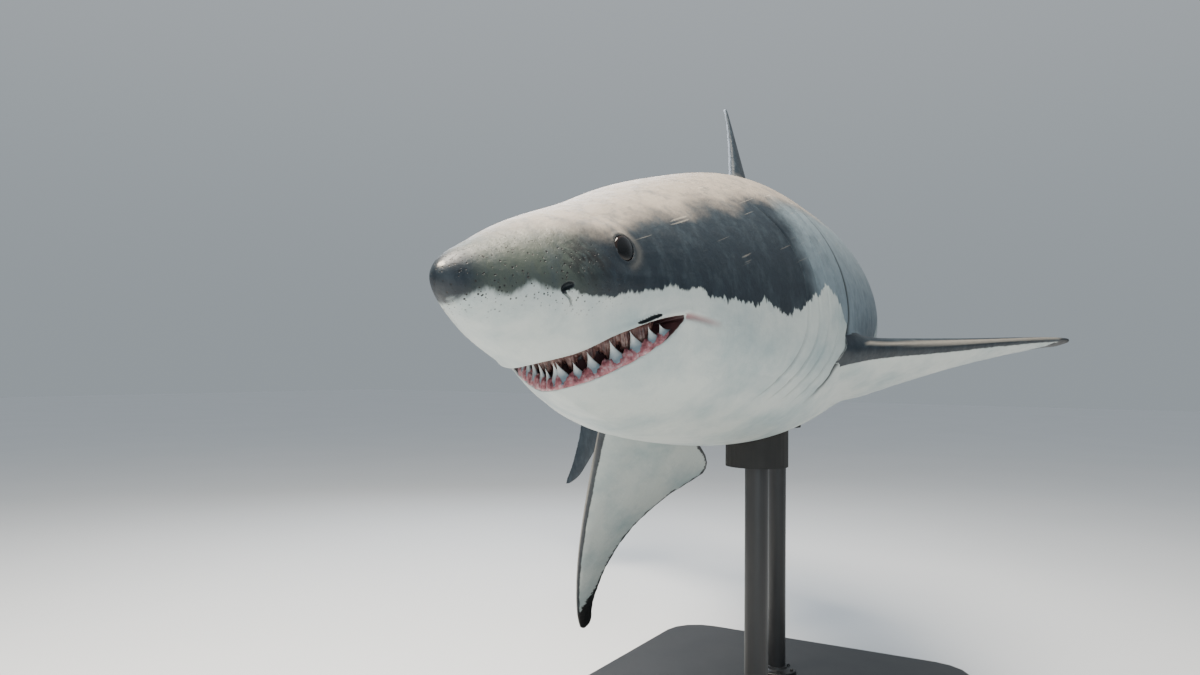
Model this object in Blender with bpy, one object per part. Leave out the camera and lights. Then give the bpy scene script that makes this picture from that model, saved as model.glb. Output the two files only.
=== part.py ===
"""A great white shark, life size, banking into a turn on a plain display stand.

The animal is laid out straight first: X runs aft from the tip of the snout, Y to the shark's right and
Z up. bend() then curves the body sideways, and the "pose" empty banks it and lifts it onto the stand.
World frame: metres, Z up, origin on the floor under the middle of the stand's base, snout towards -X.
"""

import math

import bmesh
import bpy
import numpy as np
from mathutils import Matrix, Vector

# --- Driving dimensions -----------------------------------------------------------------------------
TOTAL_LENGTH = 4.30
PERCENT = TOTAL_LENGTH / 100  # tables of the animal are in percent of its total length

GAP = 0.0004  # clear space between neighbouring solids

# The pose on the stand.
SNOUT_PLACE = Vector((-1.57, -0.14, 1.28))
BANK = math.radians(11.0)  # right side down
NOSE_DOWN = math.radians(2.0)
HEADING = 0.0

# The sideways bend, to the shark's right: how far the spine has turned, in degrees, at each station.
BEND_STATIONS = ((0, 0), (20, 0), (30, 4), (40, 14), (50, 27), (62, 45), (75, 63), (90, 80), (104, 88))

# Cross-sections of the body: distance from the snout, height of the back and of the belly, half width
# and the height where it is widest; then the fullness of the upper and the lower half, 2 for an ellipse.
BODY_SECTIONS = (
    (0.00, 0.00, 0.00, 0.00, 0.00, 2.00, 2.00),
    (0.30, 0.55, -0.70, 0.56, -0.05, 2.00, 2.00),
    (1.20, 1.08, -1.40, 1.20, -0.15, 2.00, 2.00),
    (2.60, 1.66, -2.10, 2.03, -0.30, 2.00, 1.95),
    (4.20, 2.32, -2.86, 2.96, -0.40, 2.00, 1.80),
    (6.00, 2.92, -4.06, 3.92, -0.50, 2.00, 1.50),
    (8.00, 3.48, -5.30, 4.50, -0.65, 2.00, 1.42),
    (10.5, 4.22, -6.20, 5.45, -0.85, 2.00, 1.62),
    (13.5, 5.20, -7.05, 6.32, -1.00, 2.00, 1.95),
    (17.5, 6.18, -7.80, 7.30, -1.10, 2.05, 2.10),
    (22.0, 7.05, -8.45, 8.00, -1.10, 2.10, 2.15),
    (28.0, 7.70, -8.90, 8.30, -1.30, 1.85, 2.10),
    (36.0, 7.90, -8.50, 8.10, -1.40, 1.85, 2.10),
    (46.0, 7.50, -7.90, 7.30, -0.50, 2.05, 2.05),
    (56.0, 6.10, -6.40, 5.80, 0.10, 2.00, 2.00),
    (66.0, 4.35, -4.50, 4.05, 0.10, 2.00, 2.00),
    (74.0, 2.75, -2.75, 3.00, 0.10, 1.85, 1.85),
    (80.0, 1.60, -1.45, 2.70, 0.10, 1.50, 1.50),
    (84.0, 1.55, -1.35, 2.50, 0.15, 1.45, 1.45),
    (88.0, 1.20, -1.00, 1.40, 0.20, 1.60, 1.60),
    (91.0, 0.35, -0.25, 0.35, 0.20, 2.00, 2.00),
)

# Where thin cuts part the body, and the rings in each length.
BODY_LENGTHS = (
    ("gill_region", 18.2, 25.6, 7),
    ("trunk_front", 25.6, 38.0, 7),
    ("trunk_middle", 38.0, 52.0, 7),
    ("trunk_rear", 52.0, 66.0, 7),
    ("tail_stock", 66.0, 91.0, 11),
)
HEAD_END = 18.2
HEAD_RINGS = 24
HEAD_RING_CROWDING = 1.7  # above 1 the rings crowd towards the tip of the snout
SNOUT_TIP = -0.02  # the core's point in front of the snout, percent
RING_POINTS = 32

# How finely the spine is followed, and how far: to behind the tips of the tail.
SPINE_STEPS = 540
SPINE_END = 108.0

# The mouth in the side view, front to corner: distance from the snout and height.
UPPER_LIP = (
    (2.0, -4.10),
    (5.2, -3.47),
    (6.3, -3.26),
    (7.0, -2.95),
    (8.0, -2.66),
    (9.0, -2.42),
    (10.3, -2.32),
)
LOWER_LIP = (
    (2.5, -4.80),
    (6.7, -4.58),
    (7.3, -4.48),
    (8.3, -4.12),
    (9.0, -3.78),
    (9.6, -3.38),
    (10.0, -3.02),
    (10.3, -2.47),
)
JAW_HINGE_LOW = (13.6, -12.0)  # the cut between head and lower jaw runs down and aft to here
MOUTH_CUTTER_HALF_WIDTH = 0.43  # metres, wider than the head

# Eyes and nostrils: distance from the snout and height; radii in metres.
EYE_PLACE = (7.24, 0.57)
EYE_RADIUS = 0.0235
EYE_FLATNESS = 0.42
EYE_SINK = 0.0065
NOSTRIL_PLACE = (4.32, -1.00)
NOSTRIL_RADII = (0.009, 0.014, 0.012)
SKIN_STEP = 0.5  # the skin's directions are read this far apart, percent

# Fin outlines: span outwards from the root line, then the leading and the trailing edge aft of the
# fin's origin. The first row is the root, sunk in the body.
PECTORAL_OUTLINE = (
    (-3.0, -0.3, 7.0),
    (0.0, 0.0, 7.3),
    (1.0, 0.3, 9.6),
    (2.1, 1.0, 10.9),
    (3.6, 1.9, 10.7),
    (6.8, 3.8, 9.9),
    (10.7, 6.2, 10.0),
    (14.7, 8.9, 11.2),
    (17.8, 11.3, 12.85),
    (19.2, 12.6, 13.6),
    (19.6, 13.05, 13.55),
)
DORSAL_OUTLINE = (
    (-2.2, -0.8, 9.4),
    (0.0, 0.0, 9.6),
    (0.4, 0.4, 11.2),
    (0.9, 0.9, 12.0),
    (2.3, 2.2, 10.4),
    (4.5, 4.2, 9.6),
    (7.0, 6.5, 9.8),
    (9.0, 8.4, 10.5),
    (10.1, 9.8, 11.2),
    (10.5, 10.8, 11.4),
)
PELVIC_OUTLINE = (
    (-1.8, 0.0, 4.8),
    (0.0, 0.0, 5.0),
    (0.6, 0.4, 6.8),
    (1.4, 1.0, 7.2),
    (2.6, 2.1, 6.4),
    (3.8, 3.3, 6.0),
    (4.5, 4.3, 5.9),
    (4.8, 4.9, 5.7),
)
SMALL_FIN_OUTLINE = (
    (-1.0, -0.2, 1.6),
    (0.0, 0.0, 1.7),
    (0.3, 0.3, 3.3),
    (0.6, 0.6, 3.3),
    (1.0, 1.1, 2.4),
    (1.5, 1.8, 2.4),
    (1.8, 2.4, 2.7),
)
UPPER_LOBE_OUTLINE = (
    (0.3, 0.6, 10.2),
    (1.5, 1.4, 9.9),
    (3.0, 3.0, 10.0),
    (6.0, 6.4, 11.0),
    (9.0, 10.1, 12.9),
    (11.6, 13.4, 15.2),
    (12.3, 14.4, 15.6),
    (12.8, 15.1, 17.2),
    (14.2, 17.1, 18.5),
    (14.9, 18.4, 19.0),
)
LOWER_LOBE_OUTLINE = (
    (0.1, 0.6, 10.2),
    (1.4, 1.6, 9.9),
    (3.0, 3.0, 9.8),
    (6.0, 5.7, 10.3),
    (9.0, 8.6, 11.8),
    (11.2, 11.0, 13.2),
    (12.3, 12.6, 14.0),
    (12.7, 13.6, 14.2),
)

# Median fins: origin, length of the base, which edge of the body carries it (1 back, -1 belly), outline,
# thickness at the root and at the tip.
MEDIAN_FINS = (
    ("dorsal_fin", 35.5, 9.5, 1, DORSAL_OUTLINE, 1.50, 0.20),
    ("second_dorsal_fin", 71.5, 1.7, 1, SMALL_FIN_OUTLINE, 0.40, 0.12),
    ("anal_fin", 73.5, 1.7, -1, SMALL_FIN_OUTLINE, 0.40, 0.12),
)
CAUDAL_ORIGIN = 81.4
CAUDAL_LOBES = (
    ("caudal_fin_upper", 1, UPPER_LOBE_OUTLINE, 1.30, 0.25),
    ("caudal_fin_lower", -1, LOWER_LOBE_OUTLINE, 1.30, 0.25),
)
# Paired fins: side (1 right, -1 left), origin and its height, outline, thickness at the root and at the
# tip; then degrees: droop below the horizontal, turn of the fin forwards and leading edge raised; and how
# far the tip curls down.
PAIRED_FINS = (
    ("pectoral_fin_left", -1, 25.0, -4.3, PECTORAL_OUTLINE, 2.20, 0.25, -11.0, -31.0, 14.0, -1.4),
    ("pectoral_fin_right", 1, 25.0, -4.3, PECTORAL_OUTLINE, 2.20, 0.25, 33.0, -1.0, 35.0, 0.3),
    ("pelvic_fin_left", -1, 54.0, -4.6, PELVIC_OUTLINE, 0.90, 0.18, 28.0, 0.0, 0.0, 0.0),
    ("pelvic_fin_right", 1, 54.0, -4.6, PELVIC_OUTLINE, 0.90, 0.18, 38.0, 0.0, 0.0, 0.0),
)
# Points round a fin's section, as parts of its chord.
FIN_CHORD_STEPS = (0.04, 0.20, 0.58)
FIN_EDGE = 0.0022  # half the thickness of a trailing edge
FIN_THINNING = (1.3, 0.5)  # how the root's and the tip's thickness fade in along the span
FIN_LEAST_SLENDERNESS = 0.11  # half the thickness is at most this part of the chord
FIN_SWELL = (2.9, 0.42, 0.58)  # a blade's thickness: height, then the falls with the chord and its square

# Gill slits: where each stands, from the first to the fifth, and the angle round the body that it spans.
GILL_SLITS = (19.3, 20.6, 21.9, 23.3, 24.8)
GILL_SPAN = (math.radians(-44), math.radians(30))
GILL_WIDTH = 0.006
GILL_DEPTH = 0.014
GILL_RINGS = 4
CUTTER_LIFT = 0.3  # how far a cutter stands out of the skin, percent

# The gums' lines in plan are the lower lip's, drawn in towards a place on the middle line, percent.
MOUTH_BACK = 10.9
# Gums and teeth: which way they rise and how far the line is drawn in; then, in metres, the teeth's
# spacing and height, half the gum's width and its height.
TOOTH_ROWS = (
    ("gum_upper", -1, 0.80, 0.026, 0.010, 0.009, 0.014),
    ("gum_lower", 1, 0.93, 0.030, 0.034, 0.008, 0.009),
)

GUM_CLEARANCE = 0.003  # between a gum and the jaw that it stands on
MOUTH_END = 0.9  # the gums end this far before the corner of the mouth, percent
LIP_SAMPLES = 600
LIP_ROOM = 0.015  # clear height that the teeth leave under the other lip, metres
# A gum's section: part of its half width, part of its height.
GUM_SECTION = ((-1, 0), (-0.8, 0.8), (0, 1.0), (0.8, 0.8), (1, 0))
# A tooth: height on the blade, half its width and half its thickness, as parts of its sizes.
TOOTH_SECTIONS = ((-0.2, 0.43, 0.22), (0.97, 0.02, 0.02))

# The stand: plate length, width and thickness; rods and saddles.
PLATE_SIZE = (2.00, 1.20, 0.030)
PLATE_CORNER = 0.15
ROD_RADIUS = 0.032
SADDLE_RADIUS = 0.085
SADDLE_HEIGHT = 0.10
SADDLE_BELOW_BELLY = 0.75  # part of the saddle's height that stands below the belly
ROUND_POINTS = 32
ROD_STATIONS = (("front", 29.5), ("rear", 50.5))

GREY = (0.098, 0.102, 0.106)
WHITE = (0.68, 0.70, 0.69)
PINK = (0.52, 0.23, 0.24)
BLACK = (0.006, 0.006, 0.008)
STAND_BLACK = (0.020, 0.020, 0.022)
SHARP_ANGLE = math.radians(35)  # edges sharper than this aren't shaded smooth


# --- The animal's form ------------------------------------------------------------------------------
def spline(knots, values):
    """Return a function for the natural cubic spline through the values at the knots."""
    knots = np.asarray(knots, dtype=float)
    values = np.asarray(values, dtype=float)
    steps = np.diff(knots)
    slopes = (np.diff(values, axis=0).T / steps).T
    system = np.eye(len(knots))
    right_side = np.zeros_like(values)
    for i in range(1, len(knots) - 1):
        system[i, i - 1 : i + 2] = steps[i - 1], 2 * (steps[i - 1] + steps[i]), steps[i]
        right_side[i] = 6 * (slopes[i] - slopes[i - 1])
    curvature = np.linalg.solve(system, right_side)

    def at(where):
        i = int(np.clip(np.searchsorted(knots, where) - 1, 0, len(steps) - 1))
        before = (knots[i + 1] - where) / steps[i]
        after = 1 - before
        bow = (before**3 - before) * curvature[i] + (after**3 - after) * curvature[i + 1]
        return before * values[i] + after * values[i + 1] + bow * steps[i] ** 2 / 6

    return at


# Near the tip the snout is round, so its sections are read against the root of the distance.
section_at_root = spline([math.sqrt(row[0]) for row in BODY_SECTIONS], [row[1:] for row in BODY_SECTIONS])
turn_at = spline([row[0] for row in BEND_STATIONS], [row[1] for row in BEND_STATIONS])


def body_section(along):
    """Back, belly, half width, widest height and the two fullnesses at a distance from the snout."""
    return section_at_root(math.sqrt(max(along, 0.0)))


def spine_heading(along):
    """The spine's heading at a distance from the snout, radians: none before the bend starts."""
    if along <= BEND_STATIONS[1][0]:
        return 0.0
    return math.radians(max(float(turn_at(along)), 0.0))


def spine_table():
    """Follow the spine from the snout: distance, X, Y and heading, in percent of total length."""
    along = np.linspace(0.0, SPINE_END, SPINE_STEPS + 1)
    heading = np.array([spine_heading(place) for place in along])
    middle = (heading[1:] + heading[:-1]) / 2
    stride = np.diff(along)
    x = np.concatenate([[0.0], np.cumsum(np.cos(middle) * stride)])
    y = np.concatenate([[0.0], np.cumsum(np.sin(middle) * stride)])
    return along, x, y, heading


SPINE = spine_table()


def spine_frame(along):
    """The spine's place and heading at a distance from the snout, percent and radians."""
    table_along, table_x, table_y, table_heading = SPINE
    return (
        float(np.interp(along, table_along, table_x)),
        float(np.interp(along, table_along, table_y)),
        float(np.interp(along, table_along, table_heading)),
    )


def bend(along, side, height):
    """Carry a point of the straight animal, in percent, to the bent one, in metres."""
    x, y, heading = spine_frame(along)
    return Vector((x - side * math.sin(heading), y + side * math.cos(heading), height)) * PERCENT


def section_point(along, angle, lift=0.0):
    """A point of the body's section, angle 0 on the right and 90 degrees on the back; lift in percent."""
    back, belly, half, wide, full_above, full_below = body_section(along)
    above = math.sin(angle) >= 0
    reach = back - wide if above else wide - belly
    power = 2 / (full_above if above else full_below)
    side = math.copysign(abs(math.cos(angle)) ** power, math.cos(angle)) * (half + lift)
    height = math.copysign(abs(math.sin(angle)) ** power, math.sin(angle)) * (reach + lift)
    return side, wide + height


def half_width_at(along, height):
    """Half the body's width at a height, percent, or 0 where the body doesn't reach it."""
    back, belly, half, wide, full_above, full_below = body_section(along)
    reach, full = (back - wide, full_above) if height > wide else (wide - belly, full_below)
    part = abs(height - wide) / reach
    if part >= 1:
        return 0.0
    return half * (1 - part**full) ** (1 / full)


# --- Making meshes ----------------------------------------------------------------------------------
def object_from_bmesh(name, mesh_data, collection, parent=None):
    """Turn a bmesh into a named object, its faces pointing outwards."""
    bmesh.ops.recalc_face_normals(mesh_data, faces=mesh_data.faces)
    mesh = bpy.data.meshes.new(name)
    mesh_data.to_mesh(mesh)
    mesh_data.free()
    made = bpy.data.objects.new(name, mesh)
    collection.objects.link(made)
    made.parent = parent
    return made


def loft(rings):
    """Skin a list of rings with triangles and close both ends; an end may be a single point."""
    mesh_data = bmesh.new()
    rows = [[mesh_data.verts.new(point) for point in ring] for ring in rings]
    for near, far in zip(rows, rows[1:]):
        count = max(len(near), len(far))
        for i in range(count):
            j = (i + 1) % count
            if len(near) > 1:
                mesh_data.faces.new((near[i], near[j], far[j % len(far)]))
            if len(far) > 1:
                mesh_data.faces.new((near[i % len(near)], far[j], far[i]))
    for end in (rows[0], rows[-1]):
        if len(end) > 1:
            mesh_data.faces.new(end)
    bmesh.ops.triangulate(mesh_data, faces=[face for face in mesh_data.faces if len(face.verts) > 3])
    return mesh_data


def body_ring(along, lift=0.0):
    """One ring of points round the body."""
    angles = [math.tau * i / RING_POINTS for i in range(RING_POINTS)]
    return [bend(along, *section_point(along, angle, lift)) for angle in angles]


def head_stations():
    """Ring places on the head, closest together at the round tip of the snout."""
    return [HEAD_END * (i / HEAD_RINGS) ** HEAD_RING_CROWDING for i in range(1, HEAD_RINGS + 1)]


def length_stations(start, end, rings):
    """Ring places on one length of the body, half a gap inside its cuts."""
    inset = GAP / PERCENT / 2
    return list(np.linspace(start + inset, end - inset, rings))


def add_boolean(target, cutter, operation="DIFFERENCE"):
    """Cut, keep or join a solid with another one."""
    modifier = target.modifiers.new(cutter.name, "BOOLEAN")
    modifier.operation = operation
    modifier.object = cutter
    return modifier


def outline_cutter(name, points, collection, parent):
    """Extrude a side-view outline, in percent, through the whole head."""
    curve = bpy.data.curves.new(name, "CURVE")
    curve.dimensions = "2D"
    curve.fill_mode = "BOTH"
    curve.extrude = MOUTH_CUTTER_HALF_WIDTH
    line = curve.splines.new("POLY")
    line.points.add(len(points) - 1)
    for point, (along, height) in zip(line.points, points):
        point.co = (along * PERCENT, height * PERCENT, 0.0, 1.0)
    line.use_cyclic_u = True
    drawn = bpy.data.objects.new(name + "_outline", curve)
    collection.objects.link(drawn)
    bpy.context.view_layer.update()
    mesh = bpy.data.meshes.new_from_object(drawn.evaluated_get(bpy.context.evaluated_depsgraph_get()))
    bpy.data.objects.remove(drawn)
    mesh_data = bmesh.new()
    mesh_data.from_mesh(mesh)
    bpy.data.meshes.remove(mesh)
    bmesh.ops.remove_doubles(mesh_data, verts=mesh_data.verts, dist=0.00001)
    bmesh.ops.rotate(mesh_data, verts=mesh_data.verts, matrix=Matrix.Rotation(math.pi / 2, 3, "X"))
    return object_from_bmesh(name, mesh_data, collection, parent)


def material(name, colour, roughness=0.45, metallic=0.0):
    """A plain finish for one kind of part."""
    made = bpy.data.materials.get(name)
    if made is None:
        made = bpy.data.materials.new(name)
        made.use_nodes = True
        shader = made.node_tree.nodes["Principled BSDF"]
        shader.inputs["Base Color"].default_value = (*colour, 1.0)
        shader.inputs["Roughness"].default_value = roughness
        shader.inputs["Metallic"].default_value = metallic
    return made


def finish(made, look):
    """Give a part its material and shade its round faces smooth."""
    made.data.materials.append(look)
    made.data.shade_smooth()
    made.data.set_sharp_from_angle(angle=SHARP_ANGLE)
    return made


# --- Fins -------------------------------------------------------------------------------------------
def fin_rings(outline, root_thickness, tip_thickness, place):
    """Sections of a fin from its root to its tip; place carries (aft, span, side), percent, to metres."""
    tip = outline[-1][0]
    rings = []
    for span, lead, trail in outline:
        chord = trail - lead
        part = min(max(span / tip, 0.0), 1.0)
        fade_out, fade_in = FIN_THINNING
        thickness = root_thickness * (1 - part) ** fade_out + tip_thickness * part**fade_in
        edge = FIN_EDGE / PERCENT
        half = min(thickness / 2, FIN_LEAST_SLENDERNESS * chord + edge)
        height, fall, square_fall = FIN_SWELL
        upper = []
        for step in FIN_CHORD_STEPS:
            swell = height * (math.sqrt(step) - fall * step - square_fall * step**2)
            upper.append((lead + step * chord, edge + (half - edge) * min(swell, 1.0)))
        section = [(lead, 0.0)] + upper + [(trail, edge), (trail, -edge)]
        section += [(aft, -side) for aft, side in reversed(upper)]
        rings.append([place(aft, span, side) for aft, side in section])
    return rings


def median_fin_place(origin, base, edge):
    """A fin that stands on the back or hangs from the belly and bends with the body."""
    heights = [body_section(along)[0 if edge > 0 else 1] for along in (origin, origin + base)]
    slope = (heights[1] - heights[0]) / base

    def place(aft, span, side):
        return bend(origin + aft, side, heights[0] + slope * aft + edge * span)

    return place


def caudal_lobe_place(edge):
    """A lobe of the tail fin, which starts at the spine and bends with it."""

    def place(aft, span, side):
        return bend(CAUDAL_ORIGIN + aft, side, edge * (span + GAP / PERCENT / 2))

    return place


def paired_fin_place(side_sign, origin, height, droop, forward, raised, curl, length):
    """A fin at the side of the body, rigid at its root."""
    root = bend(origin, side_sign * half_width_at(origin, height), height)
    heading = spine_frame(origin)[2]
    aft_axis = Vector((math.cos(heading), math.sin(heading), 0.0))
    out_axis = Vector((-math.sin(heading), math.cos(heading), 0.0)) * side_sign
    droop, forward, raised = (math.radians(angle) for angle in (droop, forward, raised))
    span_axis = out_axis * math.cos(droop) - Vector((0, 0, 1)) * math.sin(droop)
    face_axis = out_axis * math.sin(droop) + Vector((0, 0, 1)) * math.cos(droop)
    chord_axis = aft_axis * math.cos(raised) - face_axis * math.sin(raised)
    face_axis = face_axis * math.cos(raised) + aft_axis * math.sin(raised)
    turned_span = span_axis * math.cos(forward) - chord_axis * math.sin(forward)
    turned_chord = chord_axis * math.cos(forward) + span_axis * math.sin(forward)

    def place(aft, span, side):
        lifted = side - curl * (max(span, 0.0) / length) ** 2
        return root + (turned_chord * aft + turned_span * span + face_axis * lifted) * PERCENT

    return place


# --- The sub-parts ----------------------------------------------------------------------------------
def body_core(collection, pose):
    """The whole body, a gap larger all round: what the fins and the stand are cut back by."""
    stations = head_stations()
    for _, start, end, rings in BODY_LENGTHS:
        stations += length_stations(start, end, rings)
    rings = [[bend(0.0, 0.0, SNOUT_TIP)]] + [body_ring(along, GAP / PERCENT) for along in stations]
    return object_from_bmesh("body_core", loft(rings), collection, pose)


def build_head(parts, cutters, pose, skin, white):
    """The head down to the upper lip, and the lower jaw under the open mouth."""
    stations = head_stations()
    stations[-1] -= GAP / PERCENT / 2
    rings = [[bend(0.0, 0.0, SNOUT_TIP)]] + [body_ring(along) for along in stations]
    head = finish(object_from_bmesh("head", loft(rings), parts, pose), skin)
    jaw = finish(object_from_bmesh("lower_jaw", loft(rings), parts, pose), white)
    hinge = GAP / PERCENT * 1.1
    below = JAW_HINGE_LOW[1]
    mouth = list(UPPER_LIP) + [JAW_HINGE_LOW, (UPPER_LIP[0][0], below)]
    chin = [(along - hinge, height) for along, height in LOWER_LIP]
    chin += [(JAW_HINGE_LOW[0] - hinge, below), (LOWER_LIP[0][0], below)]
    add_boolean(head, outline_cutter("mouth_opening", mouth, cutters, pose))
    add_boolean(jaw, outline_cutter("jaw_outline", chin, cutters, pose), "INTERSECT")
    for side in (-1, 1):
        add_boolean(head, build_eye(parts, cutters, pose, side))
        add_boolean(head, nostril_cutter(cutters, pose, side))
    return head, jaw


def surface_frame(along, height, side):
    """A place on the side of the head, with the directions outwards and aft along the skin."""
    point = bend(along, side * half_width_at(along, height), height)
    ahead = bend(along + SKIN_STEP, side * half_width_at(along + SKIN_STEP, height), height)
    above = bend(along, side * half_width_at(along, height + SKIN_STEP), height + SKIN_STEP)
    aft = (ahead - point).normalized()
    outward = (above - point).cross(aft) * -side
    outward.normalize()
    return point, outward, aft


def flat_ball(name, place, outward, aft, radii, collection, pose, segments=14):
    """A ball with its own radius aft, across and outwards."""
    mesh_data = bmesh.new()
    bmesh.ops.create_uvsphere(mesh_data, u_segments=segments, v_segments=segments // 2, radius=1.0)
    across = outward.cross(aft)
    turn = Matrix((aft, across, outward)).transposed()
    size = Matrix.Diagonal(radii)
    shape = Matrix.Translation(place) @ (turn @ size).to_4x4()
    bmesh.ops.transform(mesh_data, verts=mesh_data.verts, matrix=shape)
    return object_from_bmesh(name, mesh_data, collection, pose)


def build_eye(parts, cutters, pose, side):
    """A round, flattish eye that looks straight sideways, and the socket that it sits in."""
    point, _, aft = surface_frame(*EYE_PLACE, side)
    outward = Vector((0.0, 0.0, 1.0)).cross(aft) * side
    centre = point - outward * EYE_SINK
    name = "eye_right" if side > 0 else "eye_left"
    radii = (EYE_RADIUS, EYE_RADIUS, EYE_RADIUS * EYE_FLATNESS)
    finish(flat_ball(name, centre, outward, aft, radii, parts, pose), material("eye", BLACK, 0.08))
    room = [radius + GAP * 1.5 for radius in radii]
    return flat_ball(name + "_socket", centre, outward, aft, room, cutters, pose)


def nostril_cutter(cutters, pose, side):
    """The slot of a nostril."""
    point, outward, aft = surface_frame(*NOSTRIL_PLACE, side)
    name = "nostril_right" if side > 0 else "nostril_left"
    return flat_ball(name, point, outward, aft, NOSTRIL_RADII, cutters, pose, 8)


def gill_slit_cutter(number, side, along, cutters, pose):
    """A narrow band that follows the skin and goes a little way in."""
    name = f"gill_slit_{number}_{'right' if side > 0 else 'left'}"
    half = GILL_WIDTH / PERCENT / 2
    bottom = -GILL_DEPTH / PERCENT
    corners = ((-half, CUTTER_LIFT), (half, CUTTER_LIFT), (half, bottom), (-half, bottom))
    rings = []
    for angle in np.linspace(*GILL_SPAN, GILL_RINGS):
        round_body = angle if side > 0 else math.pi - angle
        ring = [
            bend(along + offset, *section_point(along, round_body, lift)) for offset, lift in corners
        ]
        rings.append(ring)
    return object_from_bmesh(name, loft(rings), cutters, pose)


def build_body(parts, cutters, pose, skin):
    """Gill region, trunk and tail stock, parted by thin cuts."""
    made = {}
    for name, start, end, rings in BODY_LENGTHS:
        stations = length_stations(start, end, rings)
        solid = object_from_bmesh(name, loft([body_ring(along) for along in stations]), parts, pose)
        made[name] = finish(solid, skin)
    for number, along in enumerate(GILL_SLITS, start=1):
        for side in (-1, 1):
            add_boolean(made["gill_region"], gill_slit_cutter(number, side, along, cutters, pose))
    return made


def build_fins(parts, pose, skin, core):
    """Every fin, trimmed where it meets the body."""
    shapes = []
    for name, origin, base, edge, outline, root, tip in MEDIAN_FINS:
        shapes.append((name, fin_rings(outline, root, tip, median_fin_place(origin, base, edge))))
    for name, edge, outline, root, tip in CAUDAL_LOBES:
        shapes.append((name, fin_rings(outline, root, tip, caudal_lobe_place(edge))))
    for name, side, origin, height, outline, root, tip, droop, forward, raised, curl in PAIRED_FINS:
        place = paired_fin_place(side, origin, height, droop, forward, raised, curl, outline[-1][0])
        shapes.append((name, fin_rings(outline, root, tip, place)))
    for name, rings in shapes:
        add_boolean(finish(object_from_bmesh(name, loft(rings), parts, pose), skin), core)


def lip_height(lip, along):
    """Height of a lip in the side view, percent."""
    return float(np.interp(along, [row[0] for row in lip], [row[1] for row in lip]))


def gum_path(drawn_in, spacing):
    """The row of the teeth, metres: from one corner of the mouth round the front to the other."""
    right_half = []
    for along in np.linspace(LOWER_LIP[0][0], LOWER_LIP[-1][0] - MOUTH_END, LIP_SAMPLES):
        width = half_width_at(along, lip_height(LOWER_LIP, along))
        if width > 0:
            right_half.append((along * PERCENT, width * PERCENT))
    path = np.array([(x, -y) for x, y in reversed(right_half)] + right_half)
    back = np.array((MOUTH_BACK * PERCENT, 0.0))
    path = back + (path - back) * drawn_in
    walked = np.concatenate([[0.0], np.cumsum(np.linalg.norm(np.diff(path, axis=0), axis=1))])
    count = int(walked[-1] / spacing)
    places = (np.arange(count + 1) + 0.5 * (walked[-1] / spacing - count)) * spacing
    aft = np.interp(places, walked, path[:, 0])
    aside = np.interp(places, walked, path[:, 1])
    return [Vector((float(x), float(y), 0.0)) for x, y in zip(aft, aside)]


def tooth_rings(foot, along_jaw, across, rise, width, height):
    """One tooth: a flattened triangular blade on a short root."""
    rings = []
    for level, wide, thick in TOOTH_SECTIONS:
        middle = foot + rise * height * level
        side, depth = along_jaw * width * wide, across * width * thick
        rings.append([middle + side, middle + depth, middle - side, middle - depth])
    return rings


def build_gum(name, up, drawn_in, spacing, tooth_height, gum_half, gum_height, parts, cutters, pose):
    """A U-shaped ridge of gum inside the lip, with its row of teeth."""
    lip, other_lip = (LOWER_LIP, UPPER_LIP) if up > 0 else (UPPER_LIP, LOWER_LIP)
    ridge = gum_path(drawn_in, spacing)
    rise = Vector((0.0, 0.0, up))

    def floor(place):
        return lip_height(lip, place.x / PERCENT) * PERCENT + up * GUM_CLEARANCE

    rings = []
    row = bmesh.new()
    for before, place, after in zip([ridge[0]] + ridge, ridge, ridge[1:] + [ridge[-1]]):
        run = (after - before).normalized()
        across = run.cross(rise).normalized()
        opening = abs(lip_height(lip, place.x / PERCENT) - lip_height(other_lip, place.x / PERCENT)) * PERCENT
        small = min(1.0, opening / (gum_height + tooth_height + LIP_ROOM))
        ring = []
        for side, level in GUM_SECTION:
            point = place + across * side * gum_half
            point.z = floor(point) + up * level * gum_height * small
            ring.append(point)
        rings.append(ring)
        foot = Vector((place.x, place.y, floor(place) + up * gum_height * small))
        rise_along = floor(after) - floor(before)
        along_gum = Vector((after.x - before.x, after.y - before.y, rise_along)).normalized()
        one = loft(tooth_rings(foot, along_gum, across, rise, spacing, tooth_height * small))
        bmesh.ops.recalc_face_normals(one, faces=one.faces)
        tooth = bpy.data.meshes.new("tooth")
        one.to_mesh(tooth)
        one.free()
        row.from_mesh(tooth)
        bpy.data.meshes.remove(tooth)
    gum = finish(object_from_bmesh(name, loft(rings), parts, pose), material("gum", PINK, 0.3))
    add_boolean(gum, object_from_bmesh(name + "_teeth", row, cutters, pose), "UNION")
    return gum


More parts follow.
